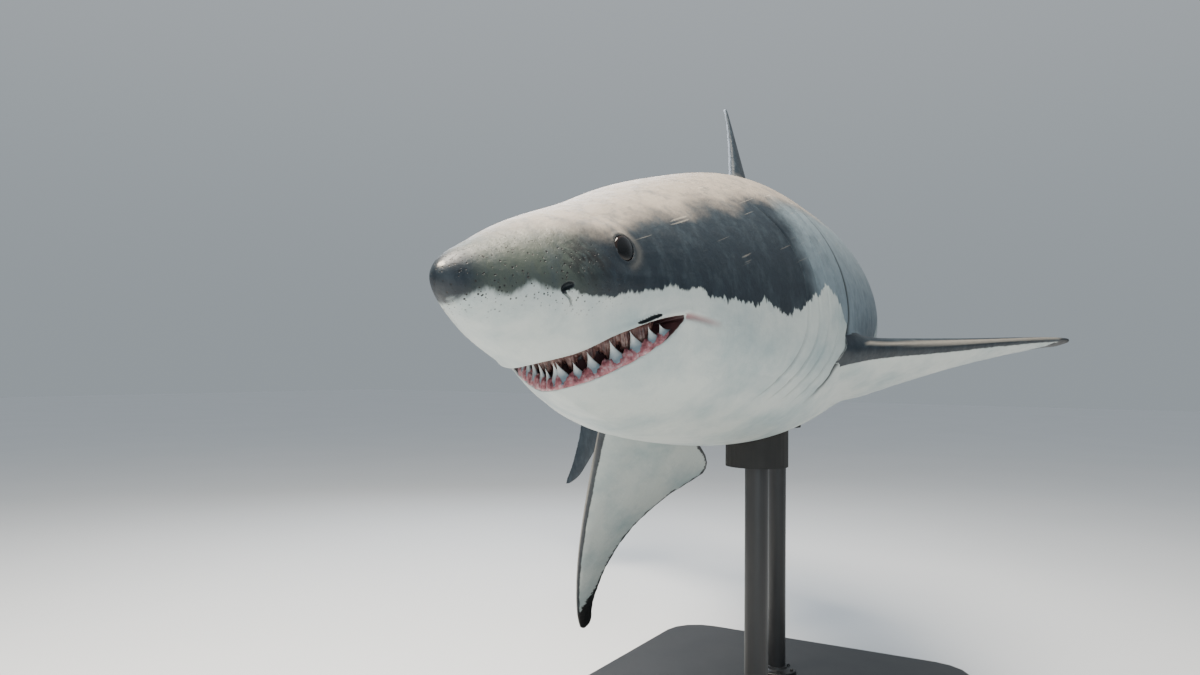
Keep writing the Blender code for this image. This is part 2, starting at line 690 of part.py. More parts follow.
def build_stand(parts, cutters, pose, core):
    """A flat plate with two upright rods, each ending in a saddle cut to the belly."""
    look = material("stand", STAND_BLACK, 0.4)
    mesh_data = bmesh.new()
    bmesh.ops.create_cube(mesh_data, size=1.0)
    bmesh.ops.scale(mesh_data, vec=PLATE_SIZE, verts=mesh_data.verts)
    bmesh.ops.translate(mesh_data, vec=(0.0, 0.0, PLATE_SIZE[2] / 2), verts=mesh_data.verts)
    corners = [edge for edge in mesh_data.edges if abs(edge.verts[0].co.z - edge.verts[1].co.z) > 0.001]
    bmesh.ops.bevel(mesh_data, geom=corners, offset=PLATE_CORNER, segments=4, profile=0.5, affect="EDGES")
    finish(object_from_bmesh("stand_base", mesh_data, parts), look)
    bpy.context.view_layer.update()
    for where, along in ROD_STATIONS:
        belly = pose.matrix_world @ bend(along, 0.0, body_section(along)[1])
        foot = PLATE_SIZE[2] + GAP
        top = belly.z - SADDLE_HEIGHT * SADDLE_BELOW_BELLY
        rod_height = top - foot
        middle = (belly.x, belly.y, foot + rod_height / 2)
        finish(turned(f"stand_rod_{where}", ROD_RADIUS, rod_height, middle, parts), look)
        middle = (belly.x, belly.y, top + GAP + SADDLE_HEIGHT / 2)
        saddle = finish(turned(f"stand_saddle_{where}", SADDLE_RADIUS, SADDLE_HEIGHT, middle, parts), look)
        add_boolean(saddle, core)


def turned(name, radius, height, middle, collection):
    """An upright round bar."""
    mesh_data = bmesh.new()
    bmesh.ops.create_cone(
        mesh_data, cap_ends=True, segments=ROUND_POINTS, radius1=radius, radius2=radius, depth=height
    )
    bmesh.ops.translate(mesh_data, vec=middle, verts=mesh_data.verts)
    return object_from_bmesh(name, mesh_data, collection)


def main():
    """Clear the scene and build the shark on its stand."""
    for old in list(bpy.data.objects):
        bpy.data.objects.remove(old)
    parts = bpy.data.collections.new("great_white_shark")
    cutters = bpy.data.collections.new("cutters")
    for collection in (parts, cutters):
        bpy.context.scene.collection.children.link(collection)
    pose = bpy.data.objects.new("pose", None)
    parts.objects.link(pose)
    pose.location = SNOUT_PLACE
    pose.rotation_euler = (-BANK, -NOSE_DOWN, HEADING)
    skin = material("shark_skin", GREY)
    core = body_core(cutters, pose)
    build_head(parts, cutters, pose, skin, material("belly_skin", WHITE))
    build_body(parts, cutters, pose, skin)
    build_fins(parts, pose, skin, core)
    for row in TOOTH_ROWS:
        build_gum(*row, parts, cutters, pose)
    build_stand(parts, cutters, pose, core)
    for cutter in cutters.objects:
        cutter.hide_render = True
        cutter.display_type = "WIRE"


main()
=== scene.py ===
"""Dresses the great white shark model: one skin, eyes, gums and teeth, and the display stand.

The animal's tables are in percent of its total length on the straight animal: X runs aft from the tip of
the snout, Y to its right and Z up. BodyForm bends, banks and lifts it into the shared frame, in metres.
"""

import logging
import math
from dataclasses import dataclass, field
from enum import Enum, IntEnum
from functools import partial
from typing import Callable, Sequence

import bmesh
import bpy
import numpy as np
from mathutils import Euler, Matrix, Vector, kdtree


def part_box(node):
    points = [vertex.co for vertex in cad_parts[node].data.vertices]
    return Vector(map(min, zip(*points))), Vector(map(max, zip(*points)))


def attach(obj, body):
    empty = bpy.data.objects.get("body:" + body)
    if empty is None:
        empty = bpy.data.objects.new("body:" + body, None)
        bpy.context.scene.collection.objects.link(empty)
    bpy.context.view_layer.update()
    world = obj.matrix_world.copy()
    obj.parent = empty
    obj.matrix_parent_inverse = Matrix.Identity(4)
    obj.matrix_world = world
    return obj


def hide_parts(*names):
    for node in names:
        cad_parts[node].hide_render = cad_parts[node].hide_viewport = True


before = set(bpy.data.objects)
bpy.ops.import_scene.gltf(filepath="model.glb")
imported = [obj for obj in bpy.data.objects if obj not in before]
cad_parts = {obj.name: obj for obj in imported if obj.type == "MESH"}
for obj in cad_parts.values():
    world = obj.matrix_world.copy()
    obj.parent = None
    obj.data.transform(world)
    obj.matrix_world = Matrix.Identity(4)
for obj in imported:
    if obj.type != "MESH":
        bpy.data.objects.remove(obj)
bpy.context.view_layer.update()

Array = np.ndarray
Table = tuple[tuple[float, ...], ...]
Triple = tuple[float, float, float]
Socket = bpy.types.NodeSocket
Adder = Callable[..., Socket]

log = logging.getLogger("shark")

TOTAL_LENGTH = 4.30
PERCENT = TOTAL_LENGTH / 100
MM = 0.001 / PERCENT  # one millimetre in percent of the total length


class Side(IntEnum):
    """The animal's left and right, as the sign of Y on the straight animal."""

    LEFT = -1
    RIGHT = 1


class Piece(IntEnum):
    """What each face of the joined skin came from, as its material index while the skin is made."""

    BODY = 0
    PECTORAL_LEFT = 1
    PECTORAL_RIGHT = 2
    PELVIC_LEFT = 3
    PELVIC_RIGHT = 4
    DORSAL = 5
    SECOND_DORSAL = 6
    ANAL = 7
    CAUDAL_UPPER = 8
    CAUDAL_LOWER = 9
    MOUTH = 10
    EYE_SOCKET = 11
    NOSTRIL = 12
    FURROW = 13


class Edge(Enum):
    """Which edge of the body carries a median fin."""

    BACK = 1
    BELLY = -1


# --- Small tools ---
def smoothstep(low: float | Array, high: float | Array, value: float | Array) -> Array:
    """Rises smoothly from 0 at low to 1 at high.

    Args:
        low: Where the step starts.
        high: Where it ends.
        value: What is stepped.

    Returns:
        The step, 0 to 1.
    """
    part = np.clip((np.asarray(value) - low) / (np.asarray(high) - low), 0.0, 1.0)
    return part * part * (3 - 2 * part)


def bell(*terms: tuple[Array, float, float]) -> Array:
    """A smooth bump, 1 in its middle: for each direction, where points are, its middle and its width."""
    return np.exp(-sum(((value - middle) / width) ** 2 for value, middle, width in terms))


def read_table(table: Table, where: Array) -> Array:
    """Reads a table of two columns, straight between its rows."""
    return np.interp(where, *zip(*table))


def running_total(steps: Array) -> Array:
    """Adds steps up, from nothing."""
    return np.concatenate([[0.0], np.cumsum(steps)])


def walk(line: Array) -> Array:
    """How far along a line each of its points is."""
    return running_total(np.linalg.norm(np.diff(line, axis=0), axis=1))


def linear(colour: str) -> tuple[float, float, float, float]:
    """Turns an sRGB hex colour to linear RGBA.

    Args:
        colour: Six hex digits after a #.

    Returns:
        Red, green, blue and alpha, linear.
    """
    parts = [int(colour[i : i + 2], 16) / 255 for i in (1, 3, 5)]
    red, green, blue = (p / 12.92 if p <= 0.04045 else ((p + 0.055) / 1.055) ** 2.4 for p in parts)
    return red, green, blue, 1.0


def new_object(name: str, points: Array, faces: Sequence[Sequence[int]]) -> bpy.types.Object:
    """Makes a mesh object whose closed faces point outwards.

    Args:
        name: The object's name.
        points: One row for each corner, in metres.
        faces: Corner numbers of each face.

    Returns:
        The object, linked to the scene.
    """
    mesh = bpy.data.meshes.new(name)
    mesh.from_pydata(np.asarray(points).tolist(), [], faces)
    shaped = bmesh.new()
    shaped.from_mesh(mesh)
    if shaped.calc_volume(signed=True) < 0:
        bmesh.ops.reverse_faces(shaped, faces=shaped.faces)
    shaped.to_mesh(mesh)
    shaped.free()
    mesh.shade_smooth()
    made = bpy.data.objects.new(name, mesh)
    bpy.context.scene.collection.objects.link(made)
    return made


def mark(made: bpy.types.Object, piece: Piece) -> bpy.types.Object:
    """Marks all the faces of a solid with the piece of the skin that they make.

    Args:
        made: The solid.
        piece: The piece.

    Returns:
        The solid.
    """
    for _ in Piece:
        made.data.materials.append(None)
    made.data.polygons.foreach_set("material_index", [int(piece)] * len(made.data.polygons))
    return made


def read_rows(rows: bpy.types.bpy_prop_collection, name: str, width: int = 1, kind: type = int) -> Array:
    """Reads one property of all of a mesh's points, edges, corners or faces.

    Args:
        rows: What is read.
        name: The property.
        width: How many numbers each has.
        kind: Whole numbers or fractions.

    Returns:
        The numbers, one row for each where there are more than one.
    """
    values = np.empty(len(rows) * width, dtype=kind)
    rows.foreach_get(name, values)
    return values.reshape(-1, width) if width > 1 else values


def write_field(mesh: bpy.types.Mesh, name: str, values: Array) -> None:
    """Gives each point of a mesh a number that its material reads."""
    layer = mesh.attributes.new(name, "FLOAT", "POINT")
    layer.data.foreach_set("value", np.asarray(values).astype(np.float32))


def loft(rings: Sequence[Array]) -> tuple[Array, list[tuple[int, ...]]]:
    """Joins rings to a closed skin; each ring has as many points as the last, half or twice as many.

    Args:
        rings: The rings in order. An end of one point is a pole; any other end is closed flat.

    Returns:
        The points and the faces.
    """
    faces: list[tuple[int, ...]] = []
    start = 0
    starts = []
    for ring in rings:
        starts.append(start)
        start += len(ring)
    for near, far, first, second in zip(rings, rings[1:], starts, starts[1:]):
        count = max(len(near), len(far))
        low_step = max(len(near), 1)
        for i in range(count):
            j = (i + 1) % count
            if len(near) == len(far):
                faces.append((first + i, first + j, second + j, second + i))
            elif len(near) == 1:
                faces.append((first, second + j, second + i))
            elif len(far) == 1:
                faces.append((first + i, first + j, second))
            elif low_step < count and i % 2 == 0:
                a, b = i // 2, (i // 2 + 1) % len(near)
                faces.append((first + a, first + b, second + (i + 1) % count))
                faces.append((first + a, second + i + 1, second + i))
                faces.append((first + b, second + (i + 2) % count, second + i + 1))
            elif low_step == count and i % 2 == 0:
                a, b = i // 2, (i // 2 + 1) % len(far)
                faces.append((second + b, second + a, first + i + 1))
                faces.append((second + a, first + i, first + i + 1))
                faces.append((second + b, first + i + 1, first + (i + 2) % count))
    for ring, begin, reverse in ((rings[0], starts[0], True), (rings[-1], starts[-1], False)):
        if len(ring) > 1:
            cap = list(range(begin, begin + len(ring)))
            faces.append(tuple(reversed(cap)) if reverse else tuple(cap))
    return np.concatenate([np.atleast_2d(ring) for ring in rings]), faces


class Spline:
    """A natural cubic spline through rows of values at rising knots."""

    def __init__(self, knots: Sequence[float], values: Sequence) -> None:
        """Solves for the curvature at the knots.

        Args:
            knots: Rising places.
            values: A number or a row of numbers for each knot.
        """
        self.knots = np.asarray(knots, dtype=float)
        self.values = np.asarray(values, dtype=float)
        if self.values.ndim == 1:
            self.values = self.values[:, None]
        steps = np.diff(self.knots)
        slopes = np.diff(self.values, axis=0) / steps[:, None]
        system = np.eye(len(self.knots))
        right_side = np.zeros_like(self.values)
        for i in range(1, len(self.knots) - 1):
            system[i, i - 1 : i + 2] = steps[i - 1], 2 * (steps[i - 1] + steps[i]), steps[i]
            right_side[i] = 6 * (slopes[i] - slopes[i - 1])
        self.curvature = np.linalg.solve(system, right_side)

    def __call__(self, where: Array) -> Array:
        """The values at each place, with one more axis than where has.

        Args:
            where: Places of any shape.

        Returns:
            The values, clamped to the spline's two ends.
        """
        where = np.clip(np.asarray(where, dtype=float), self.knots[0], self.knots[-1])
        i = np.clip(np.searchsorted(self.knots, where) - 1, 0, len(self.knots) - 2)
        step = (self.knots[i + 1] - self.knots[i])[..., None]
        before = (self.knots[i + 1] - where)[..., None] / step
        after = 1 - before
        bow = (before**3 - before) * self.curvature[i] + (after**3 - after) * self.curvature[i + 1]
        return before * self.values[i] + after * self.values[i + 1] + bow * step**2 / 6


def line_distance(along: Array, height: Array, line: Table) -> tuple[Array, Array]:
    """How far places of the side view are from a drawn line.

    Args:
        along: Distances from the snout, percent.
        height: Heights, percent.
        line: The line's points, along and height.

    Returns:
        The distance in millimetres, and how far along the line the nearest point is, 0 to 1.
    """
    nearest = np.full(np.shape(along), 1e9)
    part = np.zeros(np.shape(along))
    for i, (start, end) in enumerate(zip(line, line[1:])):
        run = np.subtract(end, start)
        t = ((along - start[0]) * run[0] + (height - start[1]) * run[1]) / float(run @ run)
        t = np.clip(t, 0.0, 1.0)
        gap = np.hypot(along - start[0] - t * run[0], height - start[1] - t * run[1]) / MM
        closer = gap < nearest
        nearest = np.where(closer, gap, nearest)
        part = np.where(closer, (i + t) / (len(line) - 1), part)
    return nearest, part


# --- The animal's form ---
@dataclass
class BodyForm:
    """The body's cross-sections, its sideways bend and its pose on the stand."""

    snout_place: Triple = (-1.57, -0.14, 1.28)
    bank: float = 11.0  # degrees, right side down
    nose_down: float = 2.0
    # How far the spine has turned to the right, in degrees, at each distance from the snout.
    bend_stations: Table = (
        (0, 0), (20, 0), (30, 4), (40, 14), (50, 27), (62, 45), (75, 63), (90, 80), (104, 88),
    )
    # Distance from the snout, heights of back and belly, half width and the height where it is widest,
    # then the fullness of the upper and the lower half, 2 for an ellipse.
    sections: Table = (
        (0.00, 0.00, 0.00, 0.00, 0.00, 2.00, 2.00),
        (0.30, 0.55, -0.70, 0.56, -0.05, 2.00, 2.00),
        (1.20, 1.08, -1.40, 1.20, -0.15, 2.00, 2.00),
        (2.60, 1.66, -2.10, 2.03, -0.30, 2.00, 1.95),
        (4.20, 2.32, -2.86, 2.96, -0.40, 2.00, 1.80),
        (6.00, 2.92, -4.06, 3.92, -0.50, 2.00, 1.50),
        (8.00, 3.48, -5.30, 4.50, -0.65, 2.00, 1.42),
        (10.5, 4.22, -6.20, 5.45, -0.85, 2.00, 1.62),
        (13.5, 5.20, -7.05, 6.32, -1.00, 2.00, 1.95),
        (17.5, 6.18, -7.80, 7.30, -1.10, 2.05, 2.10),
        (22.0, 7.05, -8.45, 8.00, -1.10, 2.10, 2.15),
        (28.0, 7.70, -8.90, 8.30, -1.30, 1.85, 2.10),
        (36.0, 7.90, -8.50, 8.10, -1.40, 1.85, 2.10),
        (46.0, 7.50, -7.90, 7.30, -0.50, 2.05, 2.05),
        (56.0, 6.10, -6.40, 5.80, 0.10, 2.00, 2.00),
        (66.0, 4.35, -4.50, 4.05, 0.10, 2.00, 2.00),
        (74.0, 2.75, -2.75, 3.00, 0.10, 1.85, 1.85),
        (80.0, 1.60, -1.45, 2.70, 0.10, 1.50, 1.50),
        (84.0, 1.55, -1.35, 2.50, 0.15, 1.45, 1.45),
        (88.0, 1.20, -1.00, 1.40, 0.20, 1.60, 1.60),
        (91.0, 0.35, -0.25, 0.35, 0.20, 2.00, 2.00),
    )
    tip: float = 0.0005  # nothing is nearer the tip of the snout than this, percent
    end: float = 91.0
    spine_steps: int = 540
    spine_end: float = 108.0

    def __post_init__(self) -> None:
        """Prepares the splines, the spine's path and the pose."""
        roots = [math.sqrt(row[0]) for row in self.sections]
        self.section_at_root = Spline(roots, [row[1:] for row in self.sections])
        turn_at = Spline(*zip(*self.bend_stations))
        self.along = np.linspace(0.0, self.spine_end, self.spine_steps + 1)
        turn = np.radians(np.maximum(turn_at(self.along)[:, 0], 0.0))
        self.heading = np.where(self.along > self.bend_stations[1][0], turn, 0.0)
        middle = (self.heading[1:] + self.heading[:-1]) / 2
        stride = np.diff(self.along)
        self.x = running_total(np.cos(middle) * stride)
        self.y = running_total(np.sin(middle) * stride)
        turned = Euler((math.radians(-self.bank), math.radians(-self.nose_down), 0.0)).to_matrix()
        self.rotation = np.array(turned)

    def section(self, along: Array) -> tuple[Array, ...]:
        """Back, belly, half width, widest height and the two fullnesses at distances from the snout."""
        row = self.section_at_root(np.sqrt(np.clip(along, self.tip, self.end)))
        return tuple(row[..., i] for i in range(6))

    def surface(self, along: Array, angle: Array) -> Array:
        """Points of the plain body.

        Args:
            along: Distances from the snout, percent.
            angle: Angles round the body, 0 on the right and a quarter turn on the back.

        Returns:
            Straight points, percent.
        """
        back, belly, half, wide, above, below = self.section(along)
        sine, cosine = np.sin(angle), np.cos(angle)
        up = sine >= 0
        power = 2 / np.where(up, above, below)
        reach = np.where(up, back - wide, wide - belly)
        side = np.sign(cosine) * np.abs(cosine) ** power * half
        height = wide + np.sign(sine) * np.abs(sine) ** power * reach
        return np.stack(np.broadcast_arrays(along, side, height), axis=-1)

    def half_width(self, along: Array, height: Array) -> Array:
        """Half the body's width at each height, or 0 where the body doesn't reach it.

        Args:
            along: Distances from the snout, percent.
            height: Heights, percent.

        Returns:
            Half widths, percent.
        """
        back, belly, half, wide, above, below = self.section(along)
        up = height > wide
        reach = np.where(up, back - wide, wide - belly)
        full = np.where(up, above, below)
        part = np.clip(np.abs(height - wide) / reach, 0.0, 1.0)
        return half * (1 - part**full) ** (1 / full)

    def bend(self, straight: Array) -> Array:
        """Carries straight points, percent, to the bent animal before its pose, percent.

        Args:
            straight: Straight points, percent.

        Returns:
            Bent points, percent.
        """
        along, side, height = np.moveaxis(np.asarray(straight, dtype=float), -1, 0)
        heading = np.interp(along, self.along, self.heading)
        x = np.interp(along, self.along, self.x) - side * np.sin(heading)
        y = np.interp(along, self.along, self.y) + side * np.cos(heading)
        return np.stack([x, y, height], axis=-1)

    def pose(self, bent: Array) -> Array:
        """Banks bent points, percent, and lifts them to their place in the shared frame, metres."""
        return (np.asarray(bent) * PERCENT) @ self.rotation.T + np.asarray(self.snout_place)

    def to_world(self, straight: Array) -> Array:
        """Carries straight points, percent, to the shared frame, metres."""
        return self.pose(self.bend(straight))

    def unpose(self, world: Array) -> Array:
        """Carries points of the shared frame, metres, back to the bent animal, percent."""
        return ((np.asarray(world) - np.asarray(self.snout_place)) @ self.rotation) / PERCENT

    def straighten(self, world: Array) -> Array:
        """Carries points of the shared frame, metres, back to the straight animal, percent.

        Args:
            world: Points of the shared frame, metres.

        Returns:
            Straight points, percent.
        """
        bent = self.unpose(world)
        every = slice(0, None, 10)
        apart = (bent[:, None, 0] - self.x[every]) ** 2 + (bent[:, None, 1] - self.y[every]) ** 2
        along = self.along[every][np.argmin(apart, axis=1)]
        for _ in range(30):
            heading = np.interp(along, self.along, self.heading)
            ahead = bent[:, 0] - np.interp(along, self.along, self.x)
            aside = bent[:, 1] - np.interp(along, self.along, self.y)
            along = np.clip(along + 0.8 * (ahead * np.cos(heading) + aside * np.sin(heading)), -2.0, 106.0)
        side = aside * np.cos(heading) - ahead * np.sin(heading)
        return np.stack([along, side, bent[:, 2]], axis=-1)

    def skin_frame(self, along: float, height: float, side: Side) -> tuple[Vector, Vector, Vector]:
        """A place on the flank, with the directions outwards and aft along the skin.

        Args:
            along: Distance from the snout, percent.
            height: Height, percent.
            side: Left or right.

        Returns:
            The place in the shared frame, outwards and aft.
        """
        step = 0.5
        places = np.array([(along, height), (along + step, height), (along, height + step)])
        width = self.half_width(places[:, 0], places[:, 1])
        world = self.to_world(np.stack([places[:, 0], side * width, places[:, 1]], axis=-1))
        point, ahead, above = (Vector(row) for row in world)
        aft = (ahead - point).normalized()
        outward = ((above - point).cross(aft) * -side).normalized()
        return point, outward, aft

    def level_frame(self, along: float, height: float, side: Side) -> tuple[Vector, Vector, Vector]:
        """Like skin_frame, but outwards is level with the animal, which is how the eyes face.

        Args:
            along: Distance from the snout, percent.
            height: Height, percent.
            side: Left or right.

        Returns:
            The place, outwards and aft.
        """
        point, _, aft = self.skin_frame(along, height, side)
        outward = (Vector(self.rotation[:, 2]).cross(aft) * side).normalized()
        return point, outward, aft

    def climb(self, straight: Array) -> Array:
        """Angle round the body of points near its skin, degrees above the flank's middle.

        Args:
            straight: Points of the straight animal, percent.

        Returns:
            Angles, degrees.
        """
        back, belly, _, wide, above, below = self.section(straight[..., 0])
        up = straight[..., 2] > wide
        reach = np.where(up, back - wide, wide - belly)
        part = np.clip(np.abs(straight[..., 2] - wide) / np.maximum(reach, 0.01), 0.0, 1.0)
        return np.degrees(np.arcsin(part ** (np.where(up, above, below) / 2))) * np.where(up, 1.0, -1.0)


FORM = BodyForm()


@dataclass(frozen=True)
class EyeShape:
    """Where the eyes sit and how large they are: flattened balls that face straight sideways."""

    along: float = 7.24  # percent
    height: float = 0.57
    radius: float = 24.0  # millimetres
    flatness: float = 0.40
    sink: float = 4.5
    cornea: float = 0.05  # how much the middle bulges, part of the radius

    def ball(self, side: Side, rows: int, count: int, room: float = 1.0) -> tuple[Array, list, Array]:
        """One eye's ball in the shared frame.

        Args:
            side: Left or right.
            rows: Rings from its outer to its inner pole.
            count: Points in a ring.
            room: How many times larger it is made.

        Returns:
            The points in metres, the faces, and how far each point is from the outer pole, 0 to 2.
        """
        point, outward, aft = FORM.level_frame(self.along, self.height, side)
        axes = np.array([aft, outward.cross(aft), outward])
        rings, out = [], []
        for i in range(rows + 1):
            polar = math.pi * i / rows
            turn = np.linspace(0.0, math.tau, count if 0 < i < rows else 1, endpoint=False)
            wide = math.sin(polar)
            bulge = self.flatness + self.cornea * math.exp(-((wide / 0.5) ** 2))
            flat = np.full(len(turn), math.cos(polar) * bulge)
            rings.append(np.column_stack([wide * np.cos(turn), wide * np.sin(turn), flat]))
            out.extend([wide if polar < math.pi / 2 else 2.0 - wide] * len(turn))
        points, faces = loft(rings)
        centre = np.array(point - outward * self.sink * 0.001)
        return points * self.radius * room * 0.001 @ axes + centre, faces, np.array(out)


EYE = EyeShape()


# --- Fins ---
@dataclass
class Fin:
    """A fin's outline, its thickness and its fleshy root, and how it carries its colours."""

    name: str
    piece: Piece
    # Span outwards from the root line, then the leading and the trailing edge aft of the fin's origin.
    outline: Table
    root_thickness: float
    tip_thickness: float
    fillet: float  # metres over which the root runs into the body
    rings: int = 64
    chord_points: int = 30
    edge: float = 1.3  # half the thickness of the trailing edge, millimetres
    nicks: Table = ()  # span, depth and width of each nick in the trailing edge, percent

    def __post_init__(self) -> None:
        """Prepares the two edges."""
        spans = [row[0] for row in self.outline]
        self.edges = Spline(spans, [row[1:] for row in self.outline])
        self.length = spans[-1]

    def place(self, aft: Array, span: Array, side: Array) -> Array:
        """Carries the fin's own coordinates, percent, to the shared frame, metres."""
        raise NotImplementedError

    def locate(self, world: Array, straight: Array) -> tuple[Array, Array, Array]:
        """Carries points back to the fin's own aft, span and side, percent."""
        raise NotImplementedError

    def trailing(self, span: Array) -> Array:
        """The trailing edge, slightly ragged as on a grown animal.

        Args:
            span: Distances from the root, percent.

        Returns:
            Places aft of the fin's origin, percent.
        """
        edge = self.edges(span)[..., 1]
        live = smoothstep(0.5, 2.0, span) * smoothstep(self.length, self.length * 0.93, span)
        ripple = 0.02 * np.sin(span * 7.3 + 1.0) + 0.015 * np.sin(span * 17.9) + 0.01 * np.sin(span * 41.0)
        for where, depth, width in self.nicks:
            edge = edge - depth * bell((span, where, width))
        return edge + ripple * live

    def sections(self) -> list[Array]:
        """The fin's sections from its root to its tip, in its own coordinates, percent.

        Returns:
            Closed rings of aft, span and side, percent.
        """
        start = self.outline[0][0]
        run = np.linspace(0.0, 1.0, self.rings)
        spans = start + (self.length - start) * (run + 0.10 * np.sin(math.tau * run) / math.tau * 2)
        spans = start + (self.length - start) * (1 - (1 - (spans - start) / (self.length - start)) ** 1.25)
        t = (1 - np.cos(np.linspace(0.0, math.pi, self.chord_points))) / 2
        t = t * 0.55 + np.linspace(0.0, 1.0, self.chord_points) ** 1.6 * 0.45
        swell = np.minimum(2.9 * (np.sqrt(t) - 0.42 * t - 0.58 * t**2), 1.0)
        made = []
        for span in spans:
            lead = float(self.edges(np.array(span))[0])
            trail = float(self.trailing(np.array(span)))
            flare = math.exp(-max(span, 0.0) / 0.9)
            lead -= 0.35 * flare
            trail += 0.25 * flare
            chord = max(trail - lead, 0.05)
            part = min(max(span / self.length, 0.0), 1.0)
            thickness = self.root_thickness * (1 - part) ** 1.3 + self.tip_thickness * part**0.5
            edge = self.edge * MM
            half = min(thickness / 2, 0.11 * chord + 2.2 * MM) * (1 + 0.30 * flare)
            upper = edge * np.minimum(np.sqrt(t / 0.01), 1.0) + (half - edge) * swell
            upper *= np.sqrt(np.clip((1 - t) / 0.01, 0.15, 1.0))
            aft = lead + t * chord
            top = np.stack([aft, np.full_like(aft, span), upper], axis=-1)
            bottom = np.stack([aft, np.full_like(aft, span), -upper], axis=-1)[::-1]
            made.append(np.concatenate([top, bottom[:-1]]))
        return made

    def build(self) -> bpy.types.Object:
        """Makes the fin as a closed solid that reaches into the body."""
        rings = [self.place(ring[:, 0], ring[:, 1], ring[:, 2]) for ring in self.sections()]
        return mark(new_object(self.name, *loft(rings)), self.piece)

    def edge_distances(self, aft: Array, span: Array) -> tuple[Array, Array]:
        """How far points of the fin are from its leading and its trailing edge, millimetres.

        Args:
            aft: Distances aft of the fin's origin, percent.
            span: Distances from the root, percent.

        Returns:
            The distance from each edge, millimetres.
        """
        edges = self.edges(span)
        step = 0.4
        slope = (self.edges(span + step) - edges) / step
        lead = (aft - edges[..., 0]) / np.sqrt(1 + slope[..., 0] ** 2) / MM
        trail = (edges[..., 1] - aft) / np.sqrt(1 + slope[..., 1] ** 2) / MM
        return lead, trail

    def colours(self, aft: Array, span: Array, side: Array) -> tuple[Array, Array, Array]:
        """How dark, how black and how pale the fin is.

        Args:
            aft: Distances aft of the fin's origin, percent.
            span: Distances from the root, percent; not used.
            side: Distances from the middle of the blade, percent; not used.

        Returns:
            The slate's and the black marks' reach, millimetres inside their edges, and the painted highlight,
            0 to 1.
        """
        return np.full(np.shape(aft), 60.0), np.full(np.shape(aft), -60.0), np.zeros(np.shape(aft))


@dataclass
class MedianFin(Fin):
    """A fin on the back or the belly, which bends with the body."""

    origin: float = 0.0
    base: float = 1.0
    carried_by: Edge = Edge.BACK
    pale: bool = False

    def __post_init__(self) -> None:
        """Finds the body's edge under the fin."""
        super().__post_init__()
        ends = FORM.section(np.array([self.origin, self.origin + self.base]))
        self.heights = ends[0] if self.carried_by is Edge.BACK else ends[1]
        self.slope = (self.heights[1] - self.heights[0]) / self.base

    def place(self, aft: Array, span: Array, side: Array) -> Array:
        """Carries the fin's own coordinates, percent, to the shared frame, metres."""
        height = self.heights[0] + self.slope * aft + self.carried_by.value * span
        return FORM.to_world(np.stack([self.origin + aft, side, height], axis=-1))

    def locate(self, world: Array, straight: Array) -> tuple[Array, Array, Array]:
        """Carries points back to the fin's own aft, span and side, percent.

        Args:
            world: Points of the shared frame, metres; not used.
            straight: Points of the straight animal, percent.

        Returns:
            Aft, span and side, percent.
        """
        aft = straight[:, 0] - self.origin
        span = (straight[:, 2] - self.heights[0] - self.slope * aft) * self.carried_by.value
        return aft, span, straight[:, 1]

    def colours(self, aft: Array, span: Array, side: Array) -> tuple[Array, Array, Array]:
        """Slate all over, or pale; a dusky rear edge.

        Args:
            aft: Distances aft of the fin's origin, percent.
            span: Distances from the root, percent.
            side: Distances from the middle of the blade, percent; not used.

        Returns:
            Slate, black and pale, as for every fin.
        """
        _, trail = self.edge_distances(aft, span)
        slate = np.full(np.shape(aft), -40.0 if self.pale else 60.0)
        return slate, 4.0 - trail, np.zeros(np.shape(aft))


@dataclass
class CaudalLobe(Fin):
    """One lobe of the tail fin, which grows from the spine."""

    origin: float = 81.4
    direction: int = 1

    def place(self, aft: Array, span: Array, side: Array) -> Array:
        """Carries the lobe's own coordinates, percent, to the shared frame, metres."""
        return FORM.to_world(np.stack([self.origin + aft, side, self.direction * span], axis=-1))

    def locate(self, world: Array, straight: Array) -> tuple[Array, Array, Array]:
        """Carries points back to the lobe's own aft, span and side, percent."""
        return straight[:, 0] - self.origin, straight[:, 2] * self.direction, straight[:, 1]

    def colours(self, aft: Array, span: Array, side: Array) -> tuple[Array, Array, Array]:
        """Slate, with a pale patch at the root of the lower lobe.

        Args:
            aft: Distances aft of the fin's origin, percent.
            span: Distances from the root, percent.
            side: Distances from the middle of the blade, percent; not used.

        Returns:
            Slate, black and pale, as for every fin.
        """
        _, trail = self.edge_distances(aft, span)
        slate = np.full(np.shape(aft), 60.0)
        if self.direction < 0:
            patch = np.hypot((aft - 5.0) / 2.6, (span - 1.6) / 1.3)
            slate = np.minimum((patch - 1.0) * 40.0, 60.0)
        return slate, 3.0 - trail, np.zeros(np.shape(aft))


